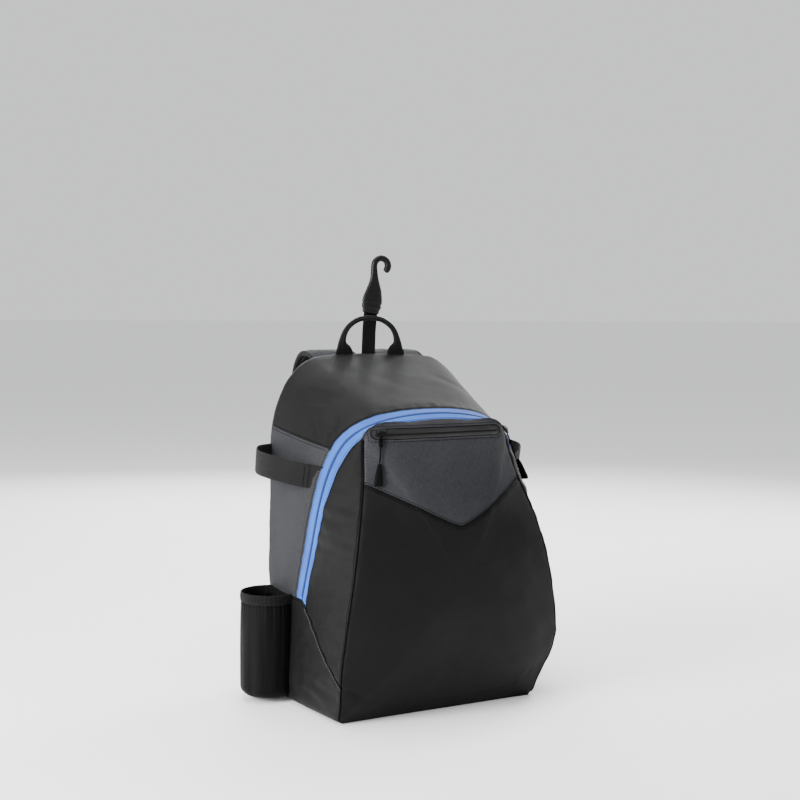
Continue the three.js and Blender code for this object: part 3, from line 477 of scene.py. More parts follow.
class Line:
    """A line on a surface: places, the surface's normals and its fields."""

    def __init__(self, points, normals, fields=None):
        self.points, self.normals, self.fields = points, normals, fields or {}

    def where(self, keep):
        """The stretches for which keep says yes."""
        yes = keep(self.fields)
        cuts = np.nonzero(np.diff(yes.astype(int)))[0] + 1
        pieces = np.split(np.arange(len(yes)), cuts)
        chosen = [p for p in pieces if yes[p[0]] and len(p) > 3]
        if len(chosen) > 1 and yes[0] and yes[-1] and np.allclose(self.points[0], self.points[-1]):
            chosen[0] = np.concatenate([chosen.pop(), chosen[0]])
        return [
            Line(self.points[p], self.normals[p], {k: v[p] for k, v in self.fields.items()}) for p in chosen
        ]

    def stepped(self, step, smooth=2):
        """The same line at even steps, lightly smoothed."""
        points = self.points.copy()
        for _ in range(smooth):
            points[1:-1] = (points[:-2] + 2 * points[1:-1] + points[2:]) / 4
        gone = np.concatenate([[0], np.cumsum(np.linalg.norm(np.diff(points, axis=0), axis=1))])
        count = max(2, int(round(gone[-1] / step)) + 1)
        at = np.linspace(0, gone[-1], count)
        read = lambda array: np.stack([np.interp(at, gone, array[:, k]) for k in range(3)], axis=1)
        return Line(read(points), unit(read(self.normals)))


# ---------------------------------------------------------------- swept bodies


def curve_points(rows, at, closed=False):
    """Places on a smooth curve through the rows: at counts rows, and the curve's speed is centripetal."""
    count = rows.shape[-2]
    spans = count if closed else count - 1
    index = np.clip(np.floor(at).astype(int), 0, spans - 1)
    t = (at - index)[:, None]
    if closed:
        ring = [rows[..., (index + k) % count, :] for k in (-1, 0, 1, 2)]
    else:
        before = 2 * rows[..., :1, :] - rows[..., 1:2, :]
        after = 2 * rows[..., -1:, :] - rows[..., -2:-1, :]
        longer = np.concatenate([before, rows, after], axis=-2)
        ring = [longer[..., index + k, :] for k in (0, 1, 2, 3)]
    p0, p1, p2, p3 = ring
    gap = lambda a, b: np.maximum(np.sum((a - b)[..., :3] ** 2, axis=-1, keepdims=True) ** 0.25, 1e-4)
    d0, d1, d2 = gap(p0, p1), gap(p1, p2), gap(p2, p3)
    m1 = d1 * ((p1 - p0) / d0 - (p2 - p0) / (d0 + d1) + (p2 - p1) / d1)
    m2 = d1 * ((p2 - p1) / d1 - (p3 - p1) / (d1 + d2) + (p3 - p2) / d2)
    return p1 + m1 * t + (3 * (p2 - p1) - 2 * m1 - m2) * t**2 + (2 * (p1 - p2) + m1 + m2) * t**3


def along_rows(rows, count):
    """Rows of numbers read smoothly at count + 1 places; the first three numbers are the place."""
    rows = np.array(rows, float)
    return curve_points(rows, np.linspace(0, len(rows) - 1, count + 1))


def oval(count, squareness):
    """Corners round a rounded section of half-width and half-depth 1."""
    angle = (np.arange(count) + 0.5) / count * 2 * math.pi
    power = lambda value: np.sign(value) * np.abs(value) ** squareness
    return np.stack([power(np.cos(angle)), power(np.sin(angle))], axis=1)


def swept(places, wides, sections):
    """A closed body through sections of [across, deep] offsets, one for each place, with flat ends."""
    along = unit(np.gradient(places, axis=0))
    wides = unit(wides - np.sum(wides * along, axis=1, keepdims=True) * along)
    thicks = np.cross(along, wides)
    ring = places[:, None] + wides[:, None] * sections[..., :1] + thicks[:, None] * sections[..., 1:]
    rows, count = ring.shape[:2]
    edge = np.linalg.norm(np.roll(ring, -1, axis=1) - ring, axis=2).mean(axis=0)
    way = np.concatenate([[0], np.cumsum(edge)])
    run = np.concatenate([[0], np.cumsum(np.linalg.norm(np.diff(places, axis=0), axis=1))])
    faces, uvs = [], []
    for r in range(rows - 1):
        for c in range(count):
            d = (c + 1) % count
            faces.append([r * count + c, r * count + d, (r + 1) * count + d, (r + 1) * count + c])
            (left, right), (low, high) = way[c : c + 2], run[r : r + 2]
            uvs.append(np.array([(left, low), (right, low), (right, high), (left, high)]))
    for row, turn in ((0, -1), (rows - 1, 1)):
        middle = rows * count + (row > 0)
        for c in range(count):
            pair = [row * count + c, row * count + (c + 1) % count][::turn]
            faces.append([*pair, middle])
            uvs.append(np.full((3, 2), run[row]))
    points = np.vstack([ring.reshape(-1, 3), ring[0].mean(axis=0), ring[-1].mean(axis=0)])
    return Sheet(points, np.zeros_like(points), faces, uvs)


def together(sheets):
    """Several bodies as one sheet of faces."""
    points, faces, uvs, shift = [], [], [], 0
    for sheet in sheets:
        points.append(sheet.points)
        faces += [[i + shift for i in face] for face in sheet.faces]
        uvs += list(sheet.uvs)
        shift += len(sheet.points)
    points = np.vstack(points)
    return Sheet(points, np.zeros_like(points), faces, uvs)


STITCH_ALONG = np.array([-0.5, -0.3, 0.3, 0.5])
STITCH_SWELL = np.array([0.25, 1, 1, 0.25])


def stitches(lines, pitch=3.4, length=2.2, thread=0.8):
    """Rows of single stitches that lie on the cloth along the lines."""
    section = oval(6, 1) * thread / 2
    made = []
    for line in lines:
        even = line.stepped(pitch)
        if len(even.points) < 3:
            continue
        along = unit(np.gradient(even.points, axis=0))
        for at, out, way in zip(even.points, even.normals, along):
            places = at + out * 0.12 + way * (STITCH_ALONG[:, None] * length)
            wides = np.repeat(np.cross(out, way)[None], 4, axis=0)
            made.append(swept(places, wides, section[None] * STITCH_SWELL[:, None, None]))
    return together(made)


def cords_of(lines, diameter, sink=0.25, step=2.0):
    """Round piping along lines on a surface, sunk into it by a share of its diameter."""
    made = []
    for line in lines:
        even = line.stepped(step, smooth=4)
        if len(even.points) < 4:
            continue
        places = even.points + even.normals * diameter * (0.5 - sink)
        swell = np.ones(len(places))
        swell[[0, -1]] = 0.3
        made.append(swept(places, even.normals, oval(10, 1)[None] * (swell * diameter / 2)[:, None, None]))
    return together(made)


# ---------------------------------------------------------------- the body's skin

BAG_WIDTH, BAG_HEIGHT = 300, 437
HALF_WIDTH = BAG_WIDTH / 2
BACK_SEAM_Y, FRONT_SEAM_REACH, FRONT_PANEL_REACH = 100, 120, 140
FULLEST_HEIGHT = 165
# How thick the cloth and the zips' tapes are drawn
CLOTH, TAPE = 1.6, 1.0
SEAM_GAP = 0.3
BACK_EDGE_ROUND = 7
SIDE_SWELL = 4
BACK_PANEL_THICKNESS = 10
SIDE_TOP_AT_BACK, SIDE_TOP_AT_ZIP = 342, 320
TUB_CORNER, TUB_FRONT = 45, 17
TUB_TURN = (0.8, 0.96)
TUB_SLANT_END = 0.9
POCKET_POINT, POCKET_SIDE, POCKET_SHARE, POCKET_TIP = 232, 287, 0.74, 7
ZIP_FOOT, ZIP_FOOT_Y, ZIP_TOP, ZIP_TOP_Y = 134, -6, 366, -70
ZIP_TAPE, ZIP_COIL = 13, 3.2
FRONT_HEIGHT = 360.5
GUSSET_TOP = 338
POCKET_ZIP = (-6, 344)
POCKET_ZIP_HALF = (90, 3.5)
# How much wider than its zip's slot the pocket's stitched window is
WINDOW = 2.2
# Where the pocket's upper corner meets the main zip, on the right
POCKET_CORNER = (101, -80, 347)
# The main zip's front tape as it shows: at the sides and at the top
FRONT_TAPE = (9.5, 12)
PANEL_FULLNESS = 2.3

# For each rib: back x, z; zip x, z; seam x, y, z; swell; right side's width
RIBS = np.array([
    [0, 0, 0, 0, 0, 0.79, 0, 0, 1],
    [0.9, 0, 0.98, 0, 0.93, 0.8, 0, 0, 0.97],
    [0.975, 0.01, 1.045, 0.014, 0.98, 0.82, 0.012, 0.1, 0.98],
    [0.995, 0.05, 1.055, 0.06, 0.99, 0.87, 0.06, 0.3, 1.01],
    [1, 0.16, 1.04, 0.19, 1.01, 0.935, 0.17, 0.5, 1.04],
    [1, 0.32, 1.02, 0.363, 0.985, 0.985, 0.32, 0.7, 1.03],
    [1, 0.49, 0.995, 0.54, 0.925, 1, 0.5, 1, 1],
    [0.995, 0.65, 0.97, 0.71, 0.855, 0.94, 0.65, 1, 0.97],
    [0.98, 0.775, 0.92, 0.825, 0.755, 0.78, 0.8, 0.8, 0.94],
    [0.915, 0.865, 0.83, 0.905, 0.715, 0.68, 0.905, 0.6, 0.92],
    [0.795, 0.938, 0.69, 0.948, 0.695, 0.66, 0.958, 0.8, 0.92],
    [0.63, 0.981, 0.51, 0.975, 0.57, 0.66, 0.986, 0.8, 0.94],
    [0.38, 0.996, 0.28, 0.993, 0.28, 0.66, 0.996, 0, 0.97],
    [0, 1, 0, 1, 0, 0.66, 1, -0.4, 1],
])
BACK_X, BACK_Z, ZIP_X, ZIP_Z, SEAM_X, SEAM_Y, SEAM_Z, SWELL, RIGHT = RIBS.T
ZEROS = np.zeros(len(RIBS))


def zip_y(z):
    return mix(ZIP_FOOT_Y, ZIP_TOP_Y, (z - ZIP_FOOT) / (ZIP_TOP - ZIP_FOOT))


BACK_RIBS = np.stack([BACK_X * HALF_WIDTH, ZEROS + BACK_SEAM_Y, BACK_Z * BAG_HEIGHT], axis=1)
ZIP_RIBS = np.stack([ZIP_X * HALF_WIDTH, zip_y(ZIP_Z * ZIP_TOP), ZIP_Z * ZIP_TOP], axis=1)
SEAM_RIBS = np.stack(
    [
        SEAM_X * HALF_WIDTH,
        np.minimum(-SEAM_Y * FRONT_SEAM_REACH, ZIP_RIBS[:, 1] - ZIP_TAPE - 2 * SEAM_GAP),
        SEAM_Z * FRONT_HEIGHT,
    ],
    axis=1,
)
REAR_RUN = BACK_SEAM_Y - ZIP_RIBS[:, 1]


def swelling(share):
    return 4 * share * (1 - share) * SIDE_SWELL * SWELL


def swollen(points, amount):
    out = np.stack([points[:, 0], ZEROS, points[:, 2] - FULLEST_HEIGHT], axis=1)
    return points + unit(out) * np.reshape(amount, (-1, 1))


def rear_ribs(share):
    turn = np.maximum(0, 1 - REAR_RUN * share / BACK_EDGE_ROUND)
    lift = np.minimum(1, BACK_RIBS[:, 2] / (4 * BACK_EDGE_ROUND))
    inset = BACK_EDGE_ROUND * (1 - np.sqrt(1 - turn**2)) * lift
    at = mix(BACK_RIBS, ZIP_RIBS, (ZEROS + share)[:, None])
    return swollen(at, swelling(share) - inset)


def behind_zip(distance):
    return rear_ribs(1 - distance / REAR_RUN)


def before_zip(distance):
    share = distance / (ZIP_RIBS[:, 1] - SEAM_RIBS[:, 1])
    return mix(ZIP_RIBS, SEAM_RIBS, share[:, None])


def gusset_ribs(share):
    at = mix(before_zip(ZIP_TAPE + SEAM_GAP), SEAM_RIBS, share)
    return swollen(at, swelling(share))


def panel_ribs(share):
    y = mix(-FRONT_PANEL_REACH, SEAM_RIBS[:, 1], share**PANEL_FULLNESS)
    return np.stack([SEAM_RIBS[:, 0] * share, y, mix(FULLEST_HEIGHT, SEAM_RIBS[:, 2], share)], axis=1)


def rings_of(ribs):
    """Closed outlines through rows of ribs, with the right side's sag and the left as its mirror."""
    sag = np.clip((BACK_SEAM_Y - ribs[..., 1]) / (BACK_SEAM_Y - ZIP_FOOT_Y), 0, 1)
    right = ribs.copy()
    right[..., 0] *= mix(1, RIGHT, sag)
    left = ribs[:, -2:0:-1] * np.array([-1, 1, 1])
    return np.concatenate([right, left], axis=1)


def column_places(rings, step):
    """Where the columns lie, counted in ribs, so that no two are further apart than the step."""
    spans = np.linalg.norm(np.roll(rings, -1, axis=1) - rings, axis=2).max(axis=0)
    places = [i + np.arange(n) / n for i, n in enumerate(np.maximum(2, np.ceil(spans / step)).astype(int))]
    return np.concatenate(places)


def tub_height(x, y):
    share = np.abs(x) / HALF_WIDTH
    turn = np.clip((share - TUB_TURN[0]) / (TUB_TURN[1] - TUB_TURN[0]), 0, 1)
    side = turn * turn * (3 - 2 * turn)
    slant = np.clip((ZIP_FOOT_Y - y) / (TUB_SLANT_END * FRONT_SEAM_REACH + ZIP_FOOT_Y), 0, 1)
    low = mix(TUB_FRONT, TUB_CORNER, np.minimum(1, share) ** 4)
    return mix(low, mix(ZIP_FOOT, TUB_CORNER, slant), side)


def pocket_slot(x, z):
    """How far outside the pocket zip's slot a place is; its right end is round."""
    long, tall = POCKET_ZIP_HALF
    x, z = x - POCKET_ZIP[0], z - POCKET_ZIP[1]
    square = np.maximum(np.abs(x) - long, np.abs(z) - tall)
    round_end = np.hypot(np.maximum(x - long + tall, 0), z)
    return np.where(x > long - 4, round_end - tall, square)


def soft_noise(places, size, seed):
    """Smooth noise from -1 to 1 at places in millimetres, its hills about size apart."""
    shift = Vector((seed * 17.3, seed * 5.1, seed * 29.7))
    heights = [noise.noise(Vector(p) / size + shift) for p in places.reshape(-1, 3)]
    return np.array(heights).reshape(places.shape[:-1])


def uneven_noise(places, sizes, seed):
    """Smooth noise whose hills are longer in some directions than in others."""
    return soft_noise(places / np.array(sizes, float), 1.0, seed)


# Rows of the skin, as numbers of rows in each strip from the back seam to the middle of the front
EDGE_SHARE = 1 - (ZIP_TAPE + SEAM_GAP) / REAR_RUN
rear_steps = np.concatenate([np.linspace(0, 0.09, 9)[:-1], np.linspace(0.09, 1, 42)])
tape_steps = np.linspace(ZIP_TAPE + SEAM_GAP, 1.2, 7)
gusset_steps = np.linspace(0, 1, 33)
panel_steps = np.linspace(1, 0.012, 52)

strips = [
    [rear_ribs(share * EDGE_SHARE) for share in rear_steps],
    [behind_zip(distance) for distance in tape_steps[1:]],
    [before_zip(distance) for distance in tape_steps[::-1]],
    [gusset_ribs(share) for share in gusset_steps[1:]],
    [panel_ribs(share) for share in panel_steps[1:]],
]
ends = np.cumsum([len(strip) for strip in strips]) - 1
REAR_END, SLOT_START = int(ends[0]), int(ends[1])
SLOT_END, TAPE_END = SLOT_START + 1, int(ends[2])
SEAM_ROW, LAST_ROW = int(ends[3]), int(ends[4])

control = rings_of(np.array([ribs for strip in strips for ribs in strip]))
columns = column_places(control[[0, REAR_END, SLOT_START, SEAM_ROW]], 3.2)
flat_skin = curve_points(control, columns, closed=True)
flat_skin[..., 2] = np.maximum(flat_skin[..., 2], 0)
skin = Grid(flat_skin, closed=True)


def add_skin_fields():
    x, y, z = np.moveaxis(skin.points, 2, 0)
    rows = np.arange(skin.rows)[:, None] * np.ones((1, skin.columns))
    level = z - tub_height(x, y)
    tree_points = np.vstack([line.stepped(1.0).points for line in skin.lines(level)])
    tree = KDTree(len(tree_points))
    for i, place in enumerate(tree_points):
        tree.insert(place, i)
    tree.balance()
    flat = skin.points.reshape(-1, 3)
    far = np.array([tree.find(p)[2] for p in flat]).reshape(level.shape)
    backward = np.clip((y - ZIP_TOP_Y) / (BACK_SEAM_Y - ZIP_TOP_Y), 0, 1)
    side_line = mix(SIDE_TOP_AT_ZIP, SIDE_TOP_AT_BACK, backward)
    tape_width = mix(*FRONT_TAPE, np.clip((z - 300) / 50, 0, 1))
    rise = (POCKET_SIDE - POCKET_POINT) / (POCKET_SHARE * HALF_WIDTH)
    v_line = POCKET_POINT + rise * (np.hypot(x, POCKET_TIP) - POCKET_TIP * 0.6)
    skin.fields.update(
        x=x,
        y=y,
        z=z,
        row=rows,
        tub=np.sign(level) * far,
        side=z - side_line,
        v=(z - v_line) * math.cos(math.atan(rise)),
        slot=pocket_slot(x, z),
        back=skin.run,
        tape_rear=skin.run - skin.run[REAR_END],
        tape_front=skin.run - skin.run[SLOT_END] - tape_width,
        seam=skin.run - skin.run[SEAM_ROW],
    )


def steady_normals():
    """Takes the normals of the gusset's thin upper end, too thin to have its own, from its neighbours."""
    first, last = TAPE_END - 2, SEAM_ROW + 2
    span = skin.run[last] - skin.run[first]
    thin = np.clip((14 - (skin.run[SEAM_ROW] - skin.run[TAPE_END])) / 8, 0, 1)
    for row in range(first + 1, last):
        share = ((skin.run[row] - skin.run[first]) / span)[:, None]
        neighbours = unit(mix(skin.normals[first], skin.normals[last], share))
        skin.normals[row] = unit(mix(skin.normals[row], neighbours, thin[:, None]))


def dip(distance, width):
    """1 on a seam, falling to 0 away from it."""
    return np.exp(-((np.abs(distance) / width) ** 1.5))


def creased(points, start, end, width):
    """1 on the line from start to end, falling to 0 beside it and towards its ends."""
    start, end = np.array(start, float), np.array(end, float)
    way = end - start
    share = np.clip(((points - start) @ way) / (way @ way), 0, 1)
    off = np.linalg.norm(points - (start + share[..., None] * way), axis=-1)
    return np.exp(-((off / width) ** 2)) * np.clip(4 * share * (1 - share) + 0.25, 0, 1)


# Soft creases seen on the bag: where each starts and ends, its width and its depth
CREASES = [
    ((-104, 25, 391), (-122, 20, 372), 22, 3.5),
    ((-112, -24, 361), (-126, -33, 342), 3.5, 2.0),
    ((-127, -21, 346), (-133, -41, 325), 3.5, 1.8),
    ((-131, 11, 355), (-135, -14, 335), 4, 1.5),
    ((-120, -8, 362), (-131, -27, 335), 5, -1.2),
    ((-146, -48, 224), (-136, -104, 219), 3, 0.9),
    ((-147, -45, 205), (-139, -105, 203), 3, 0.9),
    ((-143, -55, 243), (-132, -101, 238), 3, 0.7),
    ((-147, -50, 214), (-138, -100, 211), 4, -0.7),
    ((-152, -30, 140), (-147, -95, 160), 4, 1.0),
    ((-154, -36, 114), (-151, -98, 104), 4, 0.9),
    ((-145, -111, 47), (-109, -112, 28), 4, 1.2),
    ((136, -60, 240), (126, -100, 228), 4, 1.0),
    ((60, 30, 408), (104, -10, 385), 9, 1.6),
    ((-30, 40, 420), (10, -20, 395), 14, 1.2),
]
# The right front corner at the base is soft and drawn in
CORNER = (150, -95, 22)
CORNER_SIZE, CORNER_DEPTH, CORNER_SHAPE = 48, 11, (1.2, 1, 0.8)


def soften_skin():
    """Moves the skin as sewn cloth lies: drawn in at its seams, puckered beside them, and rumpled."""
    f = skin.fields
    z = f["z"]
    rear, panel = f["row"] <= REAR_END, f["row"] > SEAM_ROW
    tape = ~rear & (f["tape_front"] <= 0)
    gusset = ~(rear | tape | panel)
    open_cloth = f["tub"] > 0
    move = np.zeros_like(z)
    move -= np.where(panel, 0.5, 1.5) * dip(f["tub"], 2.2)
    move -= 1.2 * dip(f["seam"], 2.2) * (z < GUSSET_TOP + 6) * (z > 1)
    move -= 1.1 * dip(f["side"], 2.0) * rear * open_cloth
    move -= 1.2 * dip(f["v"], 2.0) * panel * open_cloth
    move -= 1.0 * dip(f["tape_rear"], 1.2) * rear * open_cloth
    move -= 1.0 * dip(f["tape_front"], 1.2) * (gusset | panel) * open_cloth
    high = np.clip((z - 325) / 20, 0, 1)
    move -= mix(1.3, 0.2, high) * tape * open_cloth
    mirrored = skin.points * np.array([-1, 1, 1])
    near = [np.linalg.norm(at - np.array(POCKET_CORNER), axis=2) for at in (skin.points, mirrored)]
    sink = high * (1.2 + 3.4 * dip(np.minimum(*near), 24))
    move -= sink * np.clip(1 + f["tape_front"] / 11, 0, 1) * tape * (f["row"] > SLOT_START)
    move -= (sink + 0.9 * high) * np.clip(1 - f["tape_front"] / 16, 0, 1) ** 1.5 * (gusset | panel)
    move += 0.5 * dip(f["slot"] - WINDOW - 1.5, 1.8) * panel - 0.9 * (f["slot"] < WINDOW) * panel
    ways = np.repeat(skin.way[None, :-1], skin.rows, axis=0)
    pucker = uneven_noise(np.stack([ways, skin.run, np.zeros_like(ways)], axis=2), (7, 42, 1), 3)
    near = dip(f["tape_rear"] + 6, 9) * rear + dip(f["tape_front"] - 5, 8) * gusset
    near += dip(f["seam"], 9) * (gusset | panel) * (1 - high) + 0.8 * dip(f["back"], 14)
    move += 1.0 * pucker * near * open_cloth
    around = uneven_noise(skin.points, (10, 40, 40), 11)
    move += 0.6 * around * (dip(f["v"], 12) * panel + dip(f["tub"], 10) * (~tape))
    broad = soft_noise(skin.points, 85.0, 1)
    middle = soft_noise(skin.points, 34.0, 5)
    fine = soft_noise(skin.points, 15.0, 8)
    calm = (1 - 0.75 * dip(f["tape_rear"], 6)) * (1 - 0.6 * dip(f["seam"], 6)) * np.where(tape, 0.15, 1)
    crosswise = uneven_noise(skin.points, (22, 30, 11), 14)
    loose = gusset & (z < GUSSET_TOP)
    rumple = 2.0 * broad + np.where(loose, 1.7, 0.8) * middle + np.where(loose, 0.6, 0.15) * fine
    rumple += 2.0 * crosswise * loose
    for start, end, width, depth in CREASES:
        rumple -= depth * creased(skin.points, start, end, width)
    behind, before = -f["tape_rear"] / 12, f["tape_front"] / 25
    free = np.clip(np.where(rear, behind, before), 0.15, 1)
    free = mix(1, free, np.clip((z - 300) / 30, 0, 1))
    move += rumple * calm * free * np.clip(z / 25, 0, 1)
    off = np.linalg.norm((skin.points - np.array(CORNER)) / CORNER_SHAPE, axis=2)
    drawn = CORNER_DEPTH * np.exp(-((off / CORNER_SIZE) ** 2))
    held = np.clip(f["back"] / 8, 0, 1) * 0.7 + 0.3
    moved = skin.points + skin.normals * (move * held)[..., None]
    moved[..., 0] -= drawn
    moved[..., 1] += 0.4 * drawn * (z > 0)
    moved[..., 2] = np.where(z <= 0.01, 0, np.maximum(moved[..., 2], 0))
    skin.points = moved
    skin.normals = skin.find_normals()
    steady_normals()


def add_body(looks):
    black, slate, blue = looks["black"], looks["slate"], looks["blue_tape"]
    middle = [(LAST_ROW - SEAM_ROW) * skin.columns + c for c in range(skin.columns)]
    floor_rows = skin.sheet(0, SEAM_ROW).joined(skin.sheet(SEAM_ROW, LAST_ROW, flat_uv=True))
    add_piece("tub", floor_rows.clip("tub", side=-1).thickened(CLOTH), black, ["base_tub"])
    rear = skin.sheet(0, REAR_END).clip("tub")
    add_piece("dome", rear.clip("side").thickened(CLOTH), black, ["dome_panel"])
    sides = rear.clip("side", side=-1)
    front_strip = skin.sheet(SLOT_END, SEAM_ROW).clip("tub")
    gusset = front_strip.clip("z", GUSSET_TOP, -1).clip("tape_front", SEAM_GAP)
    for name, side in (("left", -1), ("right", 1)):
        piece = sides.clip("x", 0, side).thickened(CLOTH)
        add_piece("side_" + name, piece, slate, ["side_panel_" + name])
        piece = gusset.clip("x", 0, side).thickened(CLOTH)
        add_piece("gusset_" + name, piece, black, ["side_gusset_" + name])
    tapes = {
        "rear": skin.sheet(REAR_END, SLOT_START).clip("tub"),
        "front": front_strip.clip("tape_front", 0.3, -1),
    }
    for name, piece in tapes.items():
        add_piece("tape_" + name, piece.thickened(TAPE), blue, ["main_zip_tape_" + name])
    panel = skin.sheet(SEAM_ROW, LAST_ROW, flat_uv=True)
    panel.faces.append(middle)
    panel.uvs.append(panel.points[middle][:, [0, 2]])
    panel = panel.clip("tub")
    add_piece("front", panel.clip("v", 0, -1).thickened(CLOTH), black, ["front_panel"])
    above = skin.sheet(SLOT_END, SEAM_ROW, flat_uv=True).clip("z", GUSSET_TOP).clip("tape_front", 0.1)
    pocket = panel.clip("v").clip("slot", WINDOW).joined(above)
    add_piece("pocket", pocket.thickened(CLOTH), slate, ["front_pocket_panel"])
    inlay = panel.clip("slot", WINDOW + 0.4, -1)
    inlay = inlay.thickened(TAPE)
    add_piece("pocket_tape", inlay, looks["slate_tape"], ["pocket_zip_tape"])


# ---------------------------------------------------------------- seams: piping and stitches


def add_seams(looks):
    above_tub = lambda f: f["tub"] > 1
    below_top = lambda f: f["z"] < GUSSET_TOP
    on_front = lambda f: above_tub(f) & (f["row"] > SEAM_ROW)
    on_gusset = lambda f: (f["z"] > 3) & (f["tape_front"] > 0) & (f["row"] < SEAM_ROW)
    on_side = lambda f: f["row"] < REAR_END - 1

    # Piping: its piece, field, level, diameter, how deep it is sunk, its look and where it runs
    pipings = [
        ("front", "seam", -0.01, 1.7, 0.3, "black_cord", lambda f: (f["z"] > 2) & below_top(f)),
        ("v", "v", 0, 1.3, 0.3, "black_cord", on_front),
        ("tub", "tub", 0, 1.1, 0.4, "black_cord", lambda f: f["row"] <= SEAM_ROW),
        ("back", "back", 0.6, 4.0, 0.45, "binding", lambda f: f["z"] > 3),
    ]
    for name, field, level, diameter, sink, look, keep in pipings:
        lines = skin.parts(field, level, keep)
        add_piece(name + "_piping", cords_of(lines, diameter, sink), looks[look])

    # Stitch rows: their thread, field, level and where they run
    rows = [
        ("black", "seam", -3.2, lambda f: above_tub(f) & below_top(f)),
        ("grey", "seam", 3.4, lambda f: above_tub(f) & below_top(f) & (f["v"] > 1)),
        ("black", "v", -3.2, on_front),
        ("black", "v", 2.6, on_front),
        ("grey", "tub", -2.4, on_gusset),
        ("black", "tub", -2.4, lambda f: (f["z"] > 3) & (f["tape_front"] <= 0)),
        ("black", "tub", 2.8, on_gusset),
        ("black", "side", 2.6, on_side),
        ("black", "side", -2.6, on_side),
        ("black", "tape_rear", -2.6, above_tub),
        ("black", "tape_front", 2.4, lambda f: above_tub(f) & (f["z"] < GUSSET_TOP - 8)),
        ("grey", "tape_front", 4.5, lambda f: f["z"] > GUSSET_TOP + 4),
        ("blue", "tape_rear", 1.6, above_tub),
        ("blue", "tape_front", -1.6, above_tub),
        ("black", "slot", WINDOW + 3.4, lambda f: f["row"] > SEAM_ROW),
    ]
    # Threads: their stitches' pitch, length and thickness, their look and their slot
    threads_used = {
        "black": (4.0, 2.5, 0.95, "black_thread", "black_cord"),
        "grey": (4.0, 2.5, 0.85, "grey_thread", "grey_cloth"),
        "blue": (3.4, 2.2, 0.8, "blue_coil", "blue_coil"),
    }
    for thread, (pitch, length, thick, look, slot) in threads_used.items():
        lines = [part for row in rows if row[0] == thread for part in skin.parts(*row[1:])]
        add_piece("stitches_" + thread, stitches(lines, pitch, length, thick), looks[look])


# ---------------------------------------------------------------- zips and their pulls

COIL_FLOOR = ZIP_FOOT + ZIP_COIL
TOOTH_PITCH = 1.5


def coil_body(line, width, height, pitch):
    """Two rows of coil teeth that meet on a line, each tooth between two of the other row."""
    even = line.stepped(pitch / 4, smooth=3)
    turn = np.arange(len(even.points)) / 4 * 2 * math.pi
    section = oval(12, 0.8)
    right = section[:, 0] > 0
    phase = np.where(right, 0.0, math.pi)
    swell = 1 + 0.22 * np.cos(turn[:, None] + phase[None])
    groove = 1 - 0.45 * np.exp(-((section[:, 0] / 0.25) ** 2))
    sections = section[None] * np.stack([swell * width / 2, swell * groove[None] * height / 2], axis=2)
    return swept(even.points, np.cross(even.normals, unit(np.gradient(even.points, axis=0))), sections)


def puck(outline, low, high, bevel):
    """A plate with rounded edges from an outline, between two heights."""
    reach = np.abs(outline).max()
    heights = [low, low + bevel * 0.3, low + bevel, high - bevel, high - bevel * 0.3, high]
    shrink = np.array([bevel, bevel * 0.3, 0, 0, bevel * 0.3, bevel]) / reach
    places = np.array([(0, 0, h) for h in heights], float)
    sections = outline[None] * (1 - shrink)[:, None, None]
    return swept(places, np.tile([1.0, 0, 0], (6, 1)), sections)


def placed(sheet, middle, across, along, out):
    """A body made in its own frame, set in the bag's."""
    axes = np.stack([across, along, out])
    return Sheet(sheet.points @ axes + np.array(middle), sheet.normals, sheet.faces, sheet.uvs)


def rod(places, width, depth, across=(1.0, 0, 0), squareness=0.6, sides=12):
    """A bar or wire through a few places."""
    smooth = along_rows(places, 6 * (len(places) - 1))
    section = oval(sides, squareness) * np.array([width / 2, depth / 2])
    return swept(smooth, np.tile(across, (len(smooth), 1)), np.tile(section, (len(smooth), 1, 1)))


def slider_body():
    """A zip slider in its own frame: X across, Y along the zip, Z off the cloth."""
    angle = np.linspace(0, 2 * math.pi, 33)[:-1]
    across = 4.1 * np.sign(np.cos(angle)) * np.abs(np.cos(angle)) ** 0.6
    along = 6.4 * np.sign(np.sin(angle)) * np.abs(np.sin(angle)) ** 0.6
    shield = np.stack([across * (1 - 0.022 * np.clip(-along, 0, 9)), along], axis=1)
    bars = [rod([(x, -5.0, -0.6), (x, 0, -0.7), (x * 0.92, 5.0, -0.6)], 1.1, 2.2) for x in (-3.6, 3.6)]
    bridge = rod([(0, -4.4, 0.8), (0, -3.6, 2.2), (0, 0, 2.9), (0, 3.4, 2.3), (0, 4.6, 0.8)], 2.3, 1.0)
    nose = puck(shield * np.array([0.55, 0.45]) + np.array([0, 2.6]), 1.2, 1.9, 0.4)
    return together([puck(shield, -0.2, 1.3, 0.5), *bars, bridge, nose])


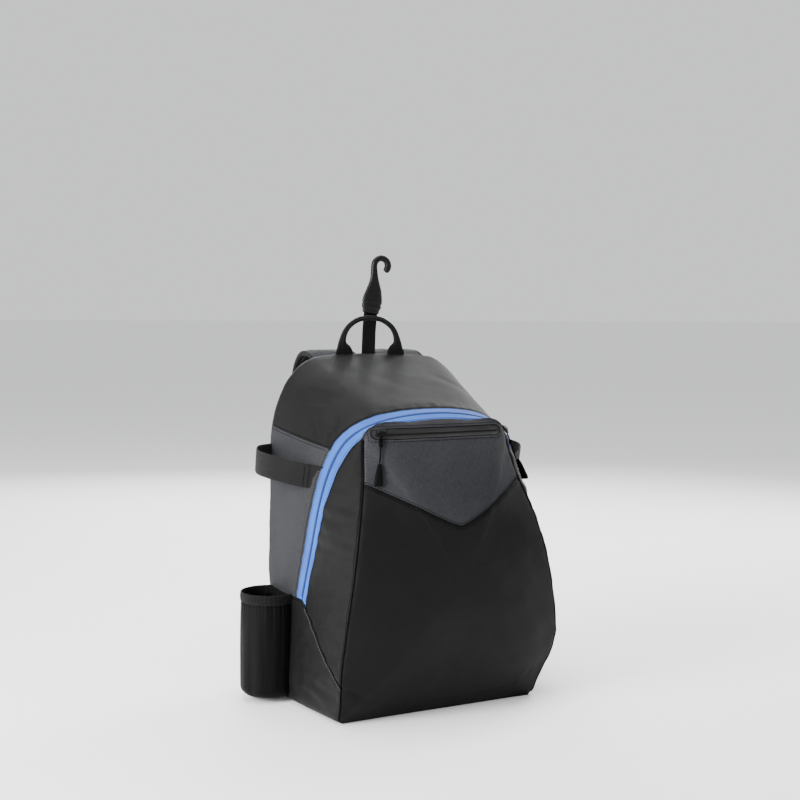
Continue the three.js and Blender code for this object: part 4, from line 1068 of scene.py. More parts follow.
# Each pull: slider's middle, out of the cloth and along the zip; the cord's route; the grip's places,
# and how far the grip has turned on its cord
PULLS = {
    "main_zip": {
        "middle": (107.5795, -64.2291, 342.0273),
        "out": (0.6371, -0.3547, 0.6843),
        "along": (-0.7638, -0.1716, 0.6222),
        "across": (0.4864, 0.8737, 0),
        "cord": [
            (110.9, -66.08, 334.7), (114.81, -67.34, 324.47), (118.43, -68.42, 313.93),
            (121.89, -69.43, 303.7),
        ],
        "grip": [
            (122.12, -69.51, 303.1), (124.16, -70.18, 297.9), (128.3, -71.33, 284.9),
            (130.56, -72.05, 278.92), (131.24, -72.27, 277.1),
        ],
        "turn": 50,
    },
    "pocket_zip": {
        "middle": (-88.5042, -91.5067, 346.5617),
        "out": (-0.2508, -0.8532, 0.4574),
        "along": (0.9594, -0.282, 0),
        "across": (0.9594, -0.282, 0),
        "cord": [
            (-88.5, -91.51, 341.57), (-90.68, -94.72, 331.34), (-92.85, -97.83, 320.8),
            (-94.56, -99.45, 310.57),
        ],
        "grip": [
            (-94.65, -99.51, 309.97), (-95.47, -100.17, 304.77), (-97.92, -103.22, 291.77),
            (-99.12, -104.86, 285.79), (-99.49, -105.38, 283.97),
        ],
        "turn": 0,
    },
}
GRIP_WIDTH, GRIP_THICKNESS, GRIP_STEPS = 9, 5, 56
GRIP_FORM = [(0.46, 0.55), (0.7, 0.8), (1.08, 1), (1.15, 0.95), (1.05, 0.7)]
CORD_LENGTH, CORD_DIAMETER = 32.8, 2
KNOT_STEP, KNOT_RADIUS = 19, 2.4


def twisted_cord(places, diameter):
    """A cord laid from three strands."""
    angle = (np.arange(18) + 0.5) / 18 * 2 * math.pi
    gone = np.concatenate([[0], np.cumsum(np.linalg.norm(np.diff(places, axis=0), axis=1))])
    turn = gone[:, None] / (2.2 * diameter) * 2 * math.pi
    radius = diameter / 2 * (0.86 + 0.14 * np.abs(np.cos(1.5 * (angle[None] + turn))))
    radius[[0, -1]] *= 0.7
    sections = np.stack([radius * np.cos(angle), radius * np.sin(angle)], axis=2)
    return swept(places, np.tile([0.0, 1, 0], (len(places), 1)), sections)


def bead(middle, radius, tall):
    """A knot: a rounded bead with a few turns in it."""
    t = np.linspace(-0.96, 0.96, 13)
    swell = radius * np.sqrt(1 - t**2) * (1 + 0.08 * np.cos(t * 9))
    places = np.array(middle) + np.stack([0 * t, 0 * t, t * tall], axis=1)
    return swept(places, np.tile([1.0, 0, 0], (13, 1)), oval(14, 1)[None] * swell[:, None, None])


def add_pull(name, looks):
    pull = {key: np.array(value, float) for key, value in PULLS[name].items()}
    across_slider = np.cross(pull["along"], pull["out"])
    seat = pull["middle"] - 0.6 * pull["out"]
    body = placed(slider_body(), seat, 1.15 * across_slider, 1.15 * pull["along"], 1.1 * pull["out"])
    route = along_rows(pull["cord"], 60)
    start, inward = route[0], np.cross(pull["across"], (0, 0, -1.0))
    ring_top = seat + 2.4 * pull["out"]
    sideways = 1.9 * pull["across"]
    low = start + 0.6 * inward
    waist = mix(ring_top, low, 0.45)
    loop = [
        ring_top + 0.4 * sideways, waist + sideways, low + 0.7 * sideways, low + np.array([0, 0, -1.2]),
        low - 0.7 * sideways, waist - sideways, ring_top - 0.4 * sideways,
    ]
    wire = rod(loop, 1.1, 1.1, inward, 1.0, 8)
    slider = together([body, wire])
    add_piece(name + "_slider_body", slider, looks["metal"], [name + "_slider"])

    turn = math.radians(pull["turn"])
    clear = 3.4 * math.sin(turn) * inward
    grip_rows = [(*(place - clear * form[0]), *form) for place, form in zip(pull["grip"], GRIP_FORM)]
    rows = along_rows(grip_rows, GRIP_STEPS)
    share = np.linspace(0, 1, GRIP_STEPS + 1)
    groove = np.exp(-((np.mod(share * 9, 1) - 0.5) / 0.2) ** 2)
    thick = rows[:, 4] * (1 - 0.16 * groove * ((share > 0.3) & (share < 0.86)))
    sizes = np.stack([rows[:, 3] * GRIP_WIDTH / 2, thick * GRIP_THICKNESS / 2], axis=1)
    wides = np.tile(math.cos(turn) * pull["across"] + math.sin(turn) * inward, (GRIP_STEPS + 1, 1))
    grip = swept(rows[:, :3], wides, oval(24, 0.7)[None] * sizes[:, None])
    grip = add_piece(name + "_grip_body", grip, looks["rubber"], [name + "_grip"])
    cord = twisted_cord(route, CORD_DIAMETER)
    made = add_piece(name + "_cord_body", cord, looks["black_cord"], [name + "_cord"])
    [tuple(p * MM) for p in route[::3]]
    place = route[KNOT_STEP]
    aside = 1.5 * pull["across"]
    top, half = route[0] + np.array([0, 0, -0.4]), mix(route[0], place, 0.5)
    round_trip = [top, half + aside, place, half - aside, top]
    doubled = rod(round_trip, CORD_DIAMETER, CORD_DIAMETER, inward, 1.0, 10)
    knot = together([bead(place, KNOT_RADIUS, 3.4), doubled])
    add_piece(name + "_knot", knot, looks["black_cord"])


def add_main_zip(looks):
    middle = (skin.points[SLOT_START] + skin.points[SLOT_END]) / 2
    normals = unit(skin.normals[SLOT_START] + skin.normals[SLOT_END])
    kept = np.nonzero(middle[:, 2] > COIL_FLOOR)[0]
    line = Line(middle[kept] + 0.2 * normals[kept], normals[kept])
    coil = coil_body(line, ZIP_COIL, 2.0, TOOTH_PITCH)
    add_piece("main_zip_teeth", coil, looks["blue_coil"], ["main_zip_coil"])


def add_pocket_zip(looks):
    reach = POCKET_ZIP_HALF[0] - 2.4
    on_zip = lambda f: (f["row"] > SEAM_ROW) & (np.abs(f["x"] - POCKET_ZIP[0]) < reach)
    for line in skin.lines(skin.fields["z"] - POCKET_ZIP[1], 0, SEAM_ROW):
        for part in line.where(on_zip):
            raised = Line(part.points + 0.2 * part.normals, part.normals)
            coil = coil_body(raised, 2.2, 1.5, TOOTH_PITCH)
            add_piece("pocket_zip_teeth", coil, looks["black_coil"], ["pocket_zip_coil"])
    welts = []
    for line in skin.lines(skin.fields["slot"], WINDOW + 0.3):
        welts += line.where(lambda f: (f["row"] > SEAM_ROW))
    add_piece("pocket_welt", cords_of(welts, 0.8, 0.3), looks["black_cord"])


# ---------------------------------------------------------------- bat sleeves and bat straps

SLEEVE_RADIUS, SLEEVE_X, SLEEVE_Y = 37, 169, 52
SLEEVE_LOW, SLEEVE_TOP, SLEEVE_HEIGHT = 5, 125, 137
SLEEVE_FOOT = 13
PLEATS = 44


def skin_distance(points):
    """How far places lie outside the softened skin."""
    flat = points.reshape(-1, 3)
    made = np.empty(len(flat))
    for i, p in enumerate(flat):
        place, normal, _, _ = TREE.find_nearest(Vector(p))
        made[i] = (Vector(p) - place).dot(normal)
    return made.reshape(points.shape[:-1])


def add_sleeve(side, name, looks):
    turn = np.linspace(0, 2 * math.pi, 241)[:-1]
    foot = np.linspace(0, math.pi / 2, 9)
    floor_r = np.linspace(3, SLEEVE_RADIUS - SLEEVE_FOOT, 6)[:-1]
    wall_z = np.linspace(SLEEVE_LOW + SLEEVE_FOOT, SLEEVE_TOP + 1.5, 44)[1:]
    radius = np.concatenate([
        floor_r, SLEEVE_RADIUS - SLEEVE_FOOT + SLEEVE_FOOT * np.sin(foot), np.full(43, float(SLEEVE_RADIUS)),
    ])
    height = np.concatenate([
        np.full(5, float(SLEEVE_LOW)), SLEEVE_LOW + SLEEVE_FOOT * (1 - np.cos(foot)), wall_z,
    ])
    up = np.clip((height - SLEEVE_LOW) / (SLEEVE_TOP - SLEEVE_LOW), 0, 1)[:, None]
    wave = np.array([noise.noise(Vector((math.cos(a) * 3, math.sin(a) * 3, 4.0 + side))) for a in turn])
    fold = 1 - np.abs(np.sin(turn * PLEATS / 2 + 2.5 * wave))
    deep = 0.08 + 0.5 * np.clip((up - 0.7) / 0.3, 0, 1) ** 1.5 + 0.25 * np.clip((0.2 - up) / 0.2, 0, 1)
    flat = np.ones_like(up)
    around = [np.cos(turn) * 14 * flat, np.sin(turn) * 14 * flat, up * 3 * np.ones_like(turn)]
    loose = soft_noise(np.stack(around, axis=2), 4.0, 21 + side)
    uneven = 0.55 + 0.9 * np.clip(0.5 + loose, 0, 1)
    r = radius[:, None] + (1.6 * loose - deep * uneven * fold[None]) * np.clip(up * 9, 0, 1) - 0.9 * up**6
    z = height[:, None] * np.ones_like(turn)[None]
    x = side * SLEEVE_X + r * np.cos(turn)
    y = SLEEVE_Y + r * np.sin(turn)
    cup = Grid(np.stack([x, y, z], axis=2), closed=True)
    cup.fields = {"out": skin_distance(cup.points), "z": z}
    closed = cup.sheet().clip("out", 0.1)
    add_piece("sleeve_" + name, closed.thickened(1.2), looks["nylon"], ["bat_sleeve_" + name])
    edge = cup.parts("out", 3.5, lambda f: f["z"] > SLEEVE_LOW + 1)
    hem = cup.parts("z", SLEEVE_TOP - 3, lambda f: f["out"] > 1)
    rows = stitches(edge + hem, 3.6)
    add_piece("sleeve_stitches_" + name, rows, looks["black_thread"])

    rise = np.linspace(0, 1, 29)
    tall = SLEEVE_HEIGHT - SLEEVE_TOP
    bulge = 1.3 * np.abs(np.sin(rise * math.pi)) ** 0.35
    out_z = SLEEVE_TOP + tall * rise
    profile_r = np.concatenate([bulge, -bulge[::-1]])
    profile_z = np.concatenate([out_z, out_z[::-1]])
    ribs = 0.22 * np.cos(profile_z * 2 * math.pi / 1.7)
    gather = 0.2 * np.sin(turn * PLEATS + 3 * wave)
    profile = SLEEVE_RADIUS - 1 + profile_r + ribs * np.sign(profile_r)
    level = profile[:, None] + gather[None] * 0.8
    bx = side * SLEEVE_X + level * np.cos(turn)
    by = SLEEVE_Y + level * np.sin(turn)
    bz = profile_z[:, None] + 0.35 * gather[None] * (profile_z[:, None] > SLEEVE_TOP + 6)
    band_points = np.stack([bx, by, bz], axis=2)
    binding = Grid(band_points, closed=True)
    binding.fields = {"out": skin_distance(band_points)}
    rim = binding.sheet()
    rows, count = band_points.shape[:2]
    ways = binding.way
    for c in range(count):
        d = (c + 1) % count
        rim.faces.append([(rows - 1) * count + c, (rows - 1) * count + d, d, c])
        rim.uvs.append(np.array([(ways[c], 0), (ways[c + 1], 0), (ways[c + 1], 1), (ways[c], 1)]))
    kept = capped(rim.clip("out", -1.5))
    add_piece("binding_" + name, kept, looks["rim"], ["sleeve_binding_" + name])


def capped(sheet):
    """A clipped body with its open ends closed."""
    edges = {}
    for face in sheet.faces:
        for k, i in enumerate(face):
            edges[(i, face[(k + 1) % len(face)])] = True
    follow = {j: i for i, j in edges if (j, i) not in edges}
    faces, uvs = list(sheet.faces), list(sheet.uvs)
    while follow:
        start, here = follow.popitem()
        ring = [start, here]
        while here in follow:
            here = follow.pop(here)
            ring.append(here)
        ring = ring[:-1] if ring[-1] == ring[0] else ring
        if len(ring) > 2:
            faces.append(ring)
            uvs.append(np.zeros((len(ring), 2)))
    return Sheet(sheet.points, sheet.normals, faces, uvs, sheet.fields)


def band_section(width, thickness, ribs, depth=0.12):
    """A flat woven band's section: fine ribs on both faces and rounded selvedges."""
    count = 4 * ribs
    across = np.linspace(-1, 1, count)
    face = thickness / 2 * (1 - np.abs(across) ** 14 * 0.7) + depth * np.cos(across * ribs * math.pi)
    top = np.stack([across[::-1] * width / 2, face[::-1]], axis=1)
    low = np.stack([across * width / 2, -face], axis=1)
    return np.vstack([top, low])


STRAP_ROWS = [
    (-0.5, -0.06, 1.1), (-0.14, 0, 1), (0.12, 0.1, 0.92), (0.62, 0.3, 0.74), (0.96, 0.5, 0.52),
    (1, 0.68, 0.4), (0.72, 0.86, 0.32), (0.22, 0.955, 0.3), (-0.4, 0.98, 0.3),
]
STRAP_REACH, STRAP_HEIGHT, STRAP_DROP, STRAP_WIDTH, STRAP_STEPS = 41, 311, 24, 31, 120


def add_bat_strap(side, name, looks):
    wall = HALF_WIDTH * 0.955
    front_y = zip_y(STRAP_HEIGHT - STRAP_DROP) + ZIP_TAPE + SEAM_GAP
    # The right strap's front end starts a little further back, and its loop stands further forward
    end, loop = (0.03, -0.14) if side > 0 else (-0.01, 0)
    rows = [
        (
            side * (wall + x * STRAP_REACH),
            mix(front_y, BACK_SEAM_Y, y + (loop * x if x > 0 else end)),
            STRAP_HEIGHT - fall * STRAP_DROP,
            fall,
        )
        for x, y, fall in STRAP_ROWS
    ]
    read = along_rows(rows, STRAP_STEPS)
    places = read[:, :3]
    lift = soft_noise(places, 30.0, 31 + side)
    places = places + np.stack([0.8 * lift, 0 * lift, 0.5 * lift], axis=1)
    ones = np.ones(STRAP_STEPS + 1)
    wides = np.stack([0.05 * lift, -0.3 * read[:, 3], ones], axis=1)
    section = band_section(STRAP_WIDTH, 2.0, 9, 0.16)
    stretch = 1 + 0.012 * np.sin(np.arange(STRAP_STEPS + 1) * 1.7)
    sections = section[None] * np.stack([ones, stretch], axis=1)[:, None]
    band = swept(places, wides, sections)
    add_piece("strap_" + name, band, looks["elastic"], ["bat_strap_" + name])
    sewn = []
    out = skin_distance(places)
    for level in (3.0, 7.5):
        for i in np.nonzero(np.diff((out > level).astype(int)))[0]:
            wide = unit(wides[i])
            along = unit(places[min(i + 1, STRAP_STEPS)] - places[i - 1])
            normal = np.cross(along, wide)
            normal = normal * np.sign(normal[0] * side)
            span = np.linspace(-0.46, 0.46, 12)[:, None] * STRAP_WIDTH * wide
            sewn.append(Line(places[i] + span + normal * 1.2, np.tile(normal, (12, 1))))
    if sewn:
        add_piece("strap_stitches_" + name, stitches(sewn, 3.0), looks["black_thread"])


# ---------------------------------------------------------------- padded straps and back

BACK_FACE = BACK_SEAM_Y + SEAM_GAP + BACK_PANEL_THICKNESS
SHOULDER_WIDTH, SHOULDER_THICKNESS = 68, 11
SHOULDER_ROWS = [
    (0, -0.16, 0.012, 1, 0.35), (0, 0.18, -0.012, 1, 0.85), (0.02, 0.6, -0.012, 1, 1),
    (0.06, 0.9, 0.045, 1, 1), (0.16, 1.02, 0.16, 1, 1), (0.45, 1, 0.38, 1, 1),
    (0.85, 0.92, 0.66, 0.97, 1), (1, 0.82, 0.88, 0.86, 0.95), (1, 0.76, 0.97, 0.66, 0.8),
    (1, 0.75, 1, 0.45, 0.6),
]
SHOULDER_STEPS = 150
TOP_X, TOP_Z, SPLAY, REACH, DROP = 50, 430, 30, 46, 245
WEB_WIDTH, WEB_THICKNESS = 25, 2
LOCK_LENGTH, LOCK_Y = 26, BACK_FACE + 0.75 * REACH
LOCK_TOP = TOP_Z - DROP - SEAM_GAP
ANCHOR = (124, BACK_FACE + 2 * SEAM_GAP + WEB_THICKNESS / 2, 46)


SWELL_FRAMES, SWELL_PRESSURE, SWELL_CAP = 20, 4.0, 4.0


def swell(piece, held):
    """Blows a padded piece up as sewn cloth, its held corners kept in place, and keeps the result."""
    group = piece.vertex_groups.new(name="held")
    group.add(held, 1.0, "REPLACE")
    cloth = piece.modifiers.new("cloth", "CLOTH")
    cloth.settings.quality = 6
    cloth.settings.use_pressure = True
    cloth.settings.uniform_pressure_force = SWELL_PRESSURE
    cloth.settings.vertex_group_mass = "held"
    cloth.settings.shrink_min = -0.015
    cloth.settings.effector_weights.gravity = 0
    cloth.point_cache.frame_start, cloth.point_cache.frame_end = 1, SWELL_FRAMES
    for frame_number in range(1, SWELL_FRAMES + 1):
        bpy.context.scene.frame_set(frame_number)
    count = len(piece.data.vertices)
    before, after = np.empty(3 * count), np.empty(3 * count)
    piece.data.vertices.foreach_get("co", before)
    swollen_mesh = piece.evaluated_get(bpy.context.evaluated_depsgraph_get()).data
    swollen_mesh.vertices.foreach_get("co", after)
    piece.modifiers.remove(cloth)
    piece.vertex_groups.remove(group)
    bpy.context.scene.frame_set(1)
    move = (after - before).reshape(-1, 3)
    far = np.linalg.norm(move, axis=1, keepdims=True)
    move *= np.minimum(1, SWELL_CAP * MM / np.maximum(far, 1e-9))
    piece.data.vertices.foreach_set("co", before + move.ravel())
    piece.data.update()


def pad_section(count=15):
    """A padded strap's section, of half-width and half-thickness 1: crowned, thin at its edges."""
    across = np.linspace(-1, 1, count)
    face = 0.36 + 0.64 * (1 - np.abs(across) ** 3.2) ** 0.8
    return across, face


def add_shoulder_strap(side, name, looks):
    rows = [
        (side * (TOP_X + out * SPLAY), BACK_FACE + behind * REACH, TOP_Z - drop * DROP, width, thick)
        for out, behind, drop, width, thick in SHOULDER_ROWS
    ]
    count = SHOULDER_STEPS + 1
    read = along_rows(rows, SHOULDER_STEPS)
    places, width, thick = read[:, :3], read[:, 3] * SHOULDER_WIDTH, read[:, 4] * SHOULDER_THICKNESS
    width[-4:] *= np.array([0.98, 0.95, 0.9, 0.8])
    wides = np.tile([1.0, 0, 0], (count, 1))
    along = unit(np.gradient(places, axis=0))
    normal = np.cross(along, wides)
    across, face = pad_section(21)
    gone = np.concatenate([[0], np.cumsum(np.linalg.norm(np.diff(places, axis=0), axis=1))])
    rumple = soft_noise(np.stack([gone / 26, 0 * gone, 0 * gone + side], axis=1), 1.0, 41)
    ripple = 1 + 0.05 * rumple
    offsets = lambda sign: np.stack(
        [across[None] * width[:, None] / 2, sign * face[None] * (thick * ripple)[:, None] / 2], axis=2
    )
    upper, lower = offsets(1)[:, ::-1], offsets(-1)
    body = swept(places, wides, np.concatenate([upper, lower], axis=1))
    outer_sign = 1 if normal[SHOULDER_STEPS // 2][1] > 0 else -1
    pad = add_piece("pad_" + name, body, looks["slate"], ["shoulder_strap_" + name])
    pad.data.materials.append(looks["spacer"])
    centres = np.array([p.center for p in pad.data.polygons]) / MM
    nearest = np.array([int(np.argmin(np.sum((places - c) ** 2, axis=1))) for c in centres])
    inner = np.sum((centres - places[nearest]) * normal[nearest], axis=1) * outer_sign < 0
    pad.data.polygons.foreach_set("material_index", inner.astype(int))
    ring = np.concatenate([across[::-1], across])
    corners = count * len(ring)
    corner_rows, corner_columns = np.divmod(np.arange(corners), len(ring))
    edge = (np.abs(ring[corner_columns]) > 0.84) | (corner_rows < 24) | (corner_rows > 145)
    swell(pad, [int(i) for i in np.nonzero(edge)[0]] + [corners, corners + 1])

    tape = []
    flat = oval(14, 0.75)
    size = np.stack([np.full(count, 3.0), thick * 0.22 + 1.0], axis=1)
    for edge in (-1, 1):
        line = places + wides * (edge * (width / 2 - 0.8))[:, None]
        tape.append(swept(line, wides, flat[None] * size[:, None]))
    none = np.zeros(15)
    tip = np.stack([np.linspace(-0.47, 0.47, 15) * width[-1], none, none], axis=1) + places[-1]
    size = np.tile([2.6, 2.1], (15, 1))
    tape.append(swept(tip, np.tile([0, 0, 1.0], (15, 1)), flat[None] * size[:, None]))
    add_piece("pad_binding_" + name, together(tape), looks["binding"])

    stitched = []
    for edge in (-1, 1):
        for face_sign in (outer_sign, -outer_sign):
            share = 0.86
            level = np.interp(share, across, face)
            line = places + wides * (edge * share * width / 2)[:, None]
            line = line + normal * (face_sign * (level * thick * ripple) / 2)[:, None]
            stitched.append(Line(line[14:-4], normal[14:-4] * face_sign))
    add_piece("pad_stitches_" + name, stitches(stitched, 3.6), looks["grey_thread"])
    add_lower_webbing(side, name, looks, places[-1])


def band(rows, width, thickness, ribs, steps, wide=(1.0, 0, 0), depth=0.1):
    """A woven band through a few places."""
    places = along_rows(rows, steps)
    section = band_section(width, thickness, ribs, depth)
    return swept(places, np.tile(wide, (len(places), 1)), np.tile(section, (len(places), 1, 1)))


def box_stitches(middle, across, up, out, half_wide, half_tall):
    """The square and cross that a webbing's end is sewn down with."""
    at = lambda a, b: middle + across * a * half_wide + up * b * half_tall
    corners = [(-1, -1), (1, -1), (1, 1), (-1, 1), (-1, -1), (1, 1)]
    ways = list(zip(corners[:-1], corners[1:])) + [((-1, 1), (1, -1))]
    lines = []
    for (a, b), (c, d) in ways:
        share = np.linspace(0, 1, 9)[:, None]
        lines.append(Line(mix(at(a, b), at(c, d), share), np.tile(out, (9, 1))))
    return lines


def add_lower_webbing(side, name, looks, pad_end):
    x = side * (TOP_X + SPLAY)
    top, low = LOCK_TOP, LOCK_TOP - LOCK_LENGTH
    bar = (top + low) / 2
    y = LOCK_Y
    loop_rows = [
        (x, y - 1, top + 16), (x, y + 1.6, top + 4), (x, y + 3.4, top - 2), (x, y, top - 5.6),
        (x, y - 3.4, top - 2), (x, y - 2.0, top + 4), (x, y - 3.6, top + 16),
    ]
    loop = band(loop_rows, WEB_WIDTH, 1.4, 8, 40)
    add_piece("lock_loop_" + name, loop, looks["webbing"])
    ax, ay, az = side * ANCHOR[0], ANCHOR[1], ANCHOR[2]
    rows = [
        (x - 0.5 * side, y + 6.5, bar - 44), (x, y + 5.0, bar - 26), (x, y + 3.6, bar - 9),
        (x, y + 2.6, bar + 1.5), (x, y - 0.4, bar + 3.6), (x, y - 2.8, bar + 0.5),
        (x, y - 3.4, bar - 10), (x, y - 3.2, low - 6),
        (mix(x, ax, 0.26), mix(y, ay, 0.26), mix(low, az, 0.36)),
        (mix(x, ax, 0.74), mix(y, ay, 0.66), mix(low, az, 0.7)),
        (ax, ay + 0.4, mix(low, az, 0.92)), (ax, ay, az - 14),
    ]
    web = band(rows, WEB_WIDTH, 1.5, 8, 150)
    add_piece("lower_webbing_" + name, web, looks["webbing"], ["strap_webbing_" + name])
    tab_rows = along_rows(
        [(ax, ay + 1.7, az + 1, 1.1), (ax, ay + 1.7, az - 18, 1.5), (ax, ay + 1.4, az - 33, 1.5)], 40
    )
    section = band_section(WEB_WIDTH, 1.6, 10, 0.08)
    sections = section[None] * np.stack([tab_rows[:, 3], np.ones(41)], axis=1)[:, None]
    tab = swept(tab_rows[:, :3], np.tile([1.0, 0, 0], (41, 1)), sections)
    add_piece("anchor_" + name, tab, looks["webbing"], ["strap_anchor_" + name])
    middle = np.array([ax, ay + 2.65, az - 16])
    sewn = box_stitches(middle, np.array([1.0, 0, 0]), np.array([0, 0, 1.0]), np.array([0, 1.0, 0]), 11, 11)
    add_piece("anchor_stitches_" + name, stitches(sewn, 2.8), looks["grey_thread"])
    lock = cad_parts["ladder_lock_" + name]
    lock.data.materials.clear()
    lock.data.materials.append(looks["plastic"])
    rounded = lock.modifiers.new("rounded", "BEVEL")
    rounded.width, rounded.segments = 0.9 * MM, 3


def add_back_panel(looks):
    outline = skin.points[0].copy()
    middle = np.array([0, 0, 205.0])
    inner = np.linspace(1, 0.01, 56)
    edge = np.array([1.0, 1.0, 1.0])
    flat = outline * np.array([1, 0, 1])
    share = np.concatenate([edge, inner])
    ring = middle + (flat[None] - middle) * share[:, None, None]
    reach = np.linalg.norm(flat - middle, axis=1)
    rim = (1 - share)[:, None] * reach[None]
    x, z = ring[..., 0], ring[..., 2]
    cross_z = np.min(np.abs(np.stack([z + 0.25 * np.abs(x) - level for level in (115, 225, 335)])), axis=0)
    channel = np.maximum(dip(np.maximum(np.abs(x) - 8, 0), 4.5), dip(cross_z, 4.0) * (np.abs(x) > 8))
    border = dip(rim - 13, 3.5)
    depth = BACK_PANEL_THICKNESS * (0.62 + 0.36 * np.clip(rim / 9, 0, 1) ** 0.5)
    depth = depth - 4.2 * channel * (rim > 11) - 3.0 * border
    depth += 0.35 * soft_noise(ring, 40.0, 51) + 0.5
    depth[:3] = np.array([0, 3.2, 5.2])[:, None]
    depth = np.clip(depth, 0, BACK_PANEL_THICKNESS - 0.1)
    ring[..., 1] = BACK_SEAM_Y + SEAM_GAP + depth
    ring[1] += (flat - middle) * 0.004 * np.array([1, 0, 1])
    ring[..., 2] = np.maximum(ring[..., 2], 0)
    panel = Grid(ring, closed=True)
    rear = panel.sheet(flat_uv=True)
    rear.faces = [face[::-1] for face in rear.faces]
    rear.uvs = [uv[::-1] for uv in rear.uvs]
    rows = len(ring)
    last = [(rows - 1) * panel.columns + c for c in range(panel.columns)]
    rear.faces.append(last[::-1])
    rear.uvs.append(rear.points[last[::-1]][:, [0, 2]])
    rear.faces.append(list(range(panel.columns)))
    rear.uvs.append(rear.points[: panel.columns][:, [0, 2]])
    pad = add_piece("back_pad", rear, looks["spacer"], ["back_panel"])


# ---------------------------------------------------------------- handle, hook strap and fence hook

HANDLE_ROWS = [
    (-0.9, -0.06, 1), (-0.93, 0.1, 0.85), (-0.98, 0.34, 0.2), (-0.82, 0.7, 0), (-0.45, 0.94, 0), (0, 1, 0),
    (0.45, 0.94, 0), (0.84, 0.7, 0), (1, 0.34, 0.2), (0.96, 0.1, 0.85), (0.94, -0.06, 1),
]
HANDLE_SHIFT, HANDLE_HALF, HANDLE_Y, HANDLE_FOOT_Z, HANDLE_RISE = -4, 42, 95, 433.5, 48
HOOK_X, HOOK_Y, HOOK_FOOT, HOOK_WIDTH, HOOK_THICKNESS, HOOK_WIRE = -1.5, 103.1, 486, 28, 8.5, 7
HOOK_CURL = (10.5, 9.5)
HOOK_TALL = 66
HOOK_ROWS = [
    (0, 0.08, 0.78, 1), (0.14, 0.13, 1, 1.1), (0.27, 0.18, 1.06, 1.1), (0.48, 0.26, 0.84, 0.98),
    (0.7, 0.29, 0.48, 0.9), (0.86, 0.28, 0.34, 0.9),
]


def upright_wides(places):
    return np.cross(unit(np.gradient(places, axis=0)), (0, 1.0, 0))


def add_handle(looks):
    rows = [
        (HANDLE_SHIFT + side * HANDLE_HALF, HANDLE_Y, HANDLE_FOOT_Z + rise * HANDLE_RISE, flat)
        for side, rise, flat in HANDLE_ROWS
    ]
    read = along_rows(rows, 130)
    flat = np.clip(read[:, 3], 0, 1)
    places = read[:, :3]
    count = 40
    angle = (np.arange(count) + 0.5) / count * 2 * math.pi
    ribs = 1 + 0.03 * np.cos(angle * 16)
    fold = 1 - 0.22 * np.exp(-((np.mod(angle + math.pi / 2 + 0.4, 2 * math.pi) - math.pi) / 0.28) ** 2)
    round_section = oval(count, 0.85) * (ribs * fold)[:, None]
    half = np.stack([mix(6.6, 27, flat) / 2, mix(6.6, 2.6, flat) / 2], axis=1)
    handle = swept(places, upright_wides(places), round_section[None] * half[:, None])
    add_piece("handle", handle, looks["webbing"], ["grab_handle"])
    sewn = []
    for index in (6, 124):
        middle = places[index] + np.array([0, -1.6, 1.5])
        for rise in (-3.2, 0.4, 4.0):
            span = np.linspace(-9.5, 9.5, 8)[:, None] * np.array([1.0, 0, 0])
            sewn.append(Line(middle + span + np.array([0, 0, rise]), np.tile([0, -1.0, 0], (8, 1))))
    front_fold = places[24:-24] + np.array([0, -2.9, 0]) - 0.9 * upright_wides(places)[24:-24]
    sewn.append(Line(front_fold, np.tile([0, -1.0, 0], (len(front_fold), 1))))
    add_piece("handle_stitches", stitches(sewn, 3.0), looks["black_thread"])


def add_hook(looks):
    strap_rows = [
        (HOOK_X - 0.5, HOOK_Y + 0.4, 424), (HOOK_X, HOOK_Y, 445), (HOOK_X + 1.2, HOOK_Y + 0.5, 468),
        (HOOK_X + 2.6, HOOK_Y, 486), (HOOK_X + 2.8, HOOK_Y, 489),
    ]
    strap = band(strap_rows, 20, 2.2, 8, 70, depth=0.18)
    add_piece("hook_webbing", strap, looks["webbing"], ["hook_strap"])
    rows = [
        (HOOK_X + x * HOOK_WIDTH, HOOK_Y, HOOK_FOOT + z * HOOK_TALL, width * HOOK_WIDTH, thick * HOOK_THICKNESS)
        for z, x, width, thick in HOOK_ROWS
    ]
    curl_x, curl_z = rows[-1][0] + HOOK_CURL[0], HOOK_FOOT + HOOK_TALL
    for degrees in (180, 150, 120, 90, 60, 30, 0, -30, -58):
        a = math.radians(degrees)
        x, z = curl_x + HOOK_CURL[0] * math.cos(a), curl_z + HOOK_CURL[1] * math.sin(a)
        rows.append((x, HOOK_Y, z, HOOK_WIRE * mix(1.3, 1.15, degrees / 180), HOOK_WIRE * 1.15))
    read = along_rows(rows, 210)
    places = read[:, :3]
    form = read[:, 3:5].copy()
    tip = np.sqrt(np.clip(1 - ((np.arange(211) - 199) / 11.2) ** 2, 0.02, 1))
    form[200:] *= tip[200:, None]
    lead = np.sqrt(np.clip(1 - ((np.arange(211) - 5) / 6.0) ** 2, 0.12, 1))
    form[:5] *= lead[:5, None]
    z = places[:, 2]
    early = np.arange(211) < 90
    grooves = sum(np.exp(-(((z - level) / 1.1) ** 2)) for level in (492.5, 500.5)) * early
    form *= (1 - 0.07 * grooves)[:, None]
    sections = oval(32, 0.82)[None] * form[:, None] / 2
    hook = swept(places, upright_wides(places), sections)
    add_piece("hook_body", hook, looks["plastic"], ["fence_hook"])


# ---------------------------------------------------------------- making

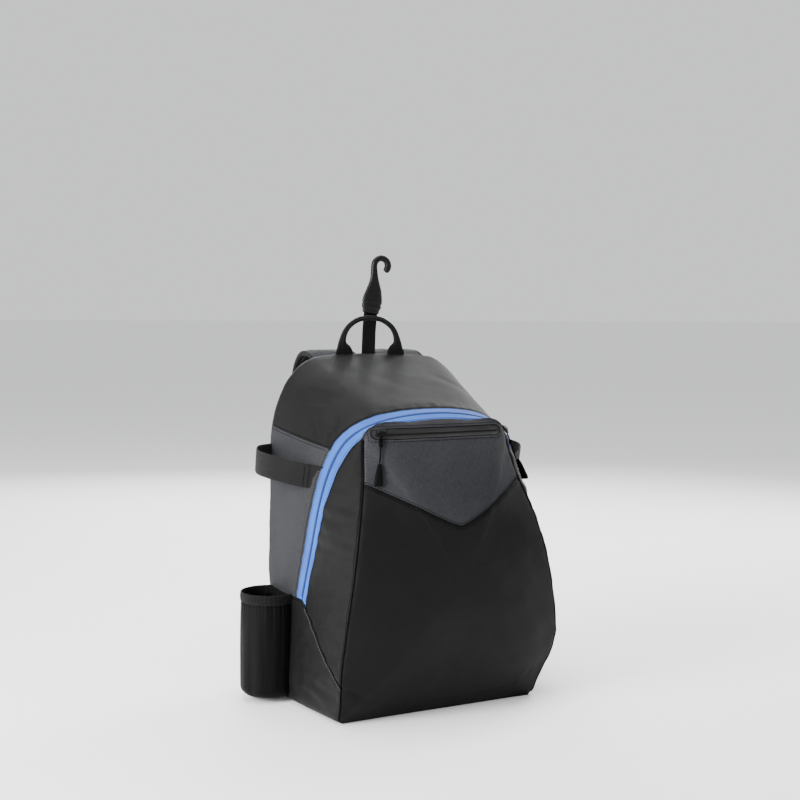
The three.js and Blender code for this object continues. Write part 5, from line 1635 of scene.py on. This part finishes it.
add_camera()
LOOKS = {
    "black": cloth_look("black_polyester", grey(2), grey(14), 0.75, 0.5, 0.4, 0.5, 0.01, 0.1),
    "slate": cloth_look(
        "slate_heather", grey(26, (1, 1, 1.08)), grey(48, (0.99, 1, 1.06)), 0.85, 0.6, 0.9, 0.5, 0.01, 0.05
    ),
    "nylon": cloth_look("black_nylon", grey(2), grey(12), 0.6, 0.5, 0.35, 0.4, 0.01, 0.05),
    "blue_tape": ribbed_look(
        "blue_tape", grey(108, (0.36, 0.7, 1.36)), grey(136, (0.42, 0.76, 1.36)), 1.1, 0.6, 0.65, 0.6
    ),
    "slate_tape": ribbed_look("slate_tape", grey(24), grey(42), 1.0, 0.0, 0.7, 0.6),
    "blue_coil": moulded_look(
        "blue_coil", grey(66, (0.28, 0.58, 1.36)), grey(92, (0.34, 0.64, 1.36)), 0.4, 0.15
    ),
    "black_coil": moulded_look("black_coil", grey(2), grey(12), 0.45, 0.15),
    "webbing": ribbed_look("black_webbing", grey(2), grey(12), 1.6, 0.0, 0.65, 0.7),
    "binding": ribbed_look("binding_tape", grey(2), grey(10), 1.2, 1.57, 0.7, 0.5),
    "elastic": ribbed_look("charcoal_elastic", grey(8), grey(22), 1.0, 1.57, 0.8, 0.7),
    "rim": ribbed_look("rim_elastic", grey(2), grey(12), 1.0, 1.57, 0.8, 0.7),
    "spacer": cloth_look("spacer_mesh", grey(3), grey(14), 2.4, 0.8, 0.2, 0.9, 0.02, 0.08),
    "black_cord": ribbed_look("black_cord", grey(1), grey(6), 0.9, 0.7, 0.8, 0.6, 0, 0.04),
    "black_thread": ribbed_look("black_thread", grey(1), grey(6), 0.5, 0.6, 0.8, 0.5, 0, 0.04),
    "grey_thread": ribbed_look("grey_thread", grey(60), grey(84), 0.5, 0.6, 0.6, 0.5),
    "plastic": moulded_look("black_plastic", grey(2), grey(18), 0.38, 0.2),
    "rubber": moulded_look("black_rubber", grey(0), grey(10), 0.6, 0.06),
    "metal": moulded_look("painted_metal", grey(1), grey(16), 0.4, 0.12),
}
steady_normals()
add_skin_fields()
soften_skin()
flat = skin.points.reshape(-1, 3)
TREE = BVHTree.FromPolygons([Vector(p) for p in flat], skin.sheet().faces)
for zip_name in PULLS:
    add_pull(zip_name, LOOKS)
add_studio()
add_body(LOOKS)
add_seams(LOOKS)
add_main_zip(LOOKS)
add_pocket_zip(LOOKS)
for side, name in ((-1, "left"), (1, "right")):
    add_sleeve(side, name, LOOKS)
    add_bat_strap(side, name, LOOKS)
    add_shoulder_strap(side, name, LOOKS)
add_back_panel(LOOKS)
add_handle(LOOKS)
add_hook(LOOKS)

visual_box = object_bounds()
plain = lambda box: [[float(v) for v in corner] for corner in box]
{"cad": plain(cad_box), "visual": plain(visual_box)}
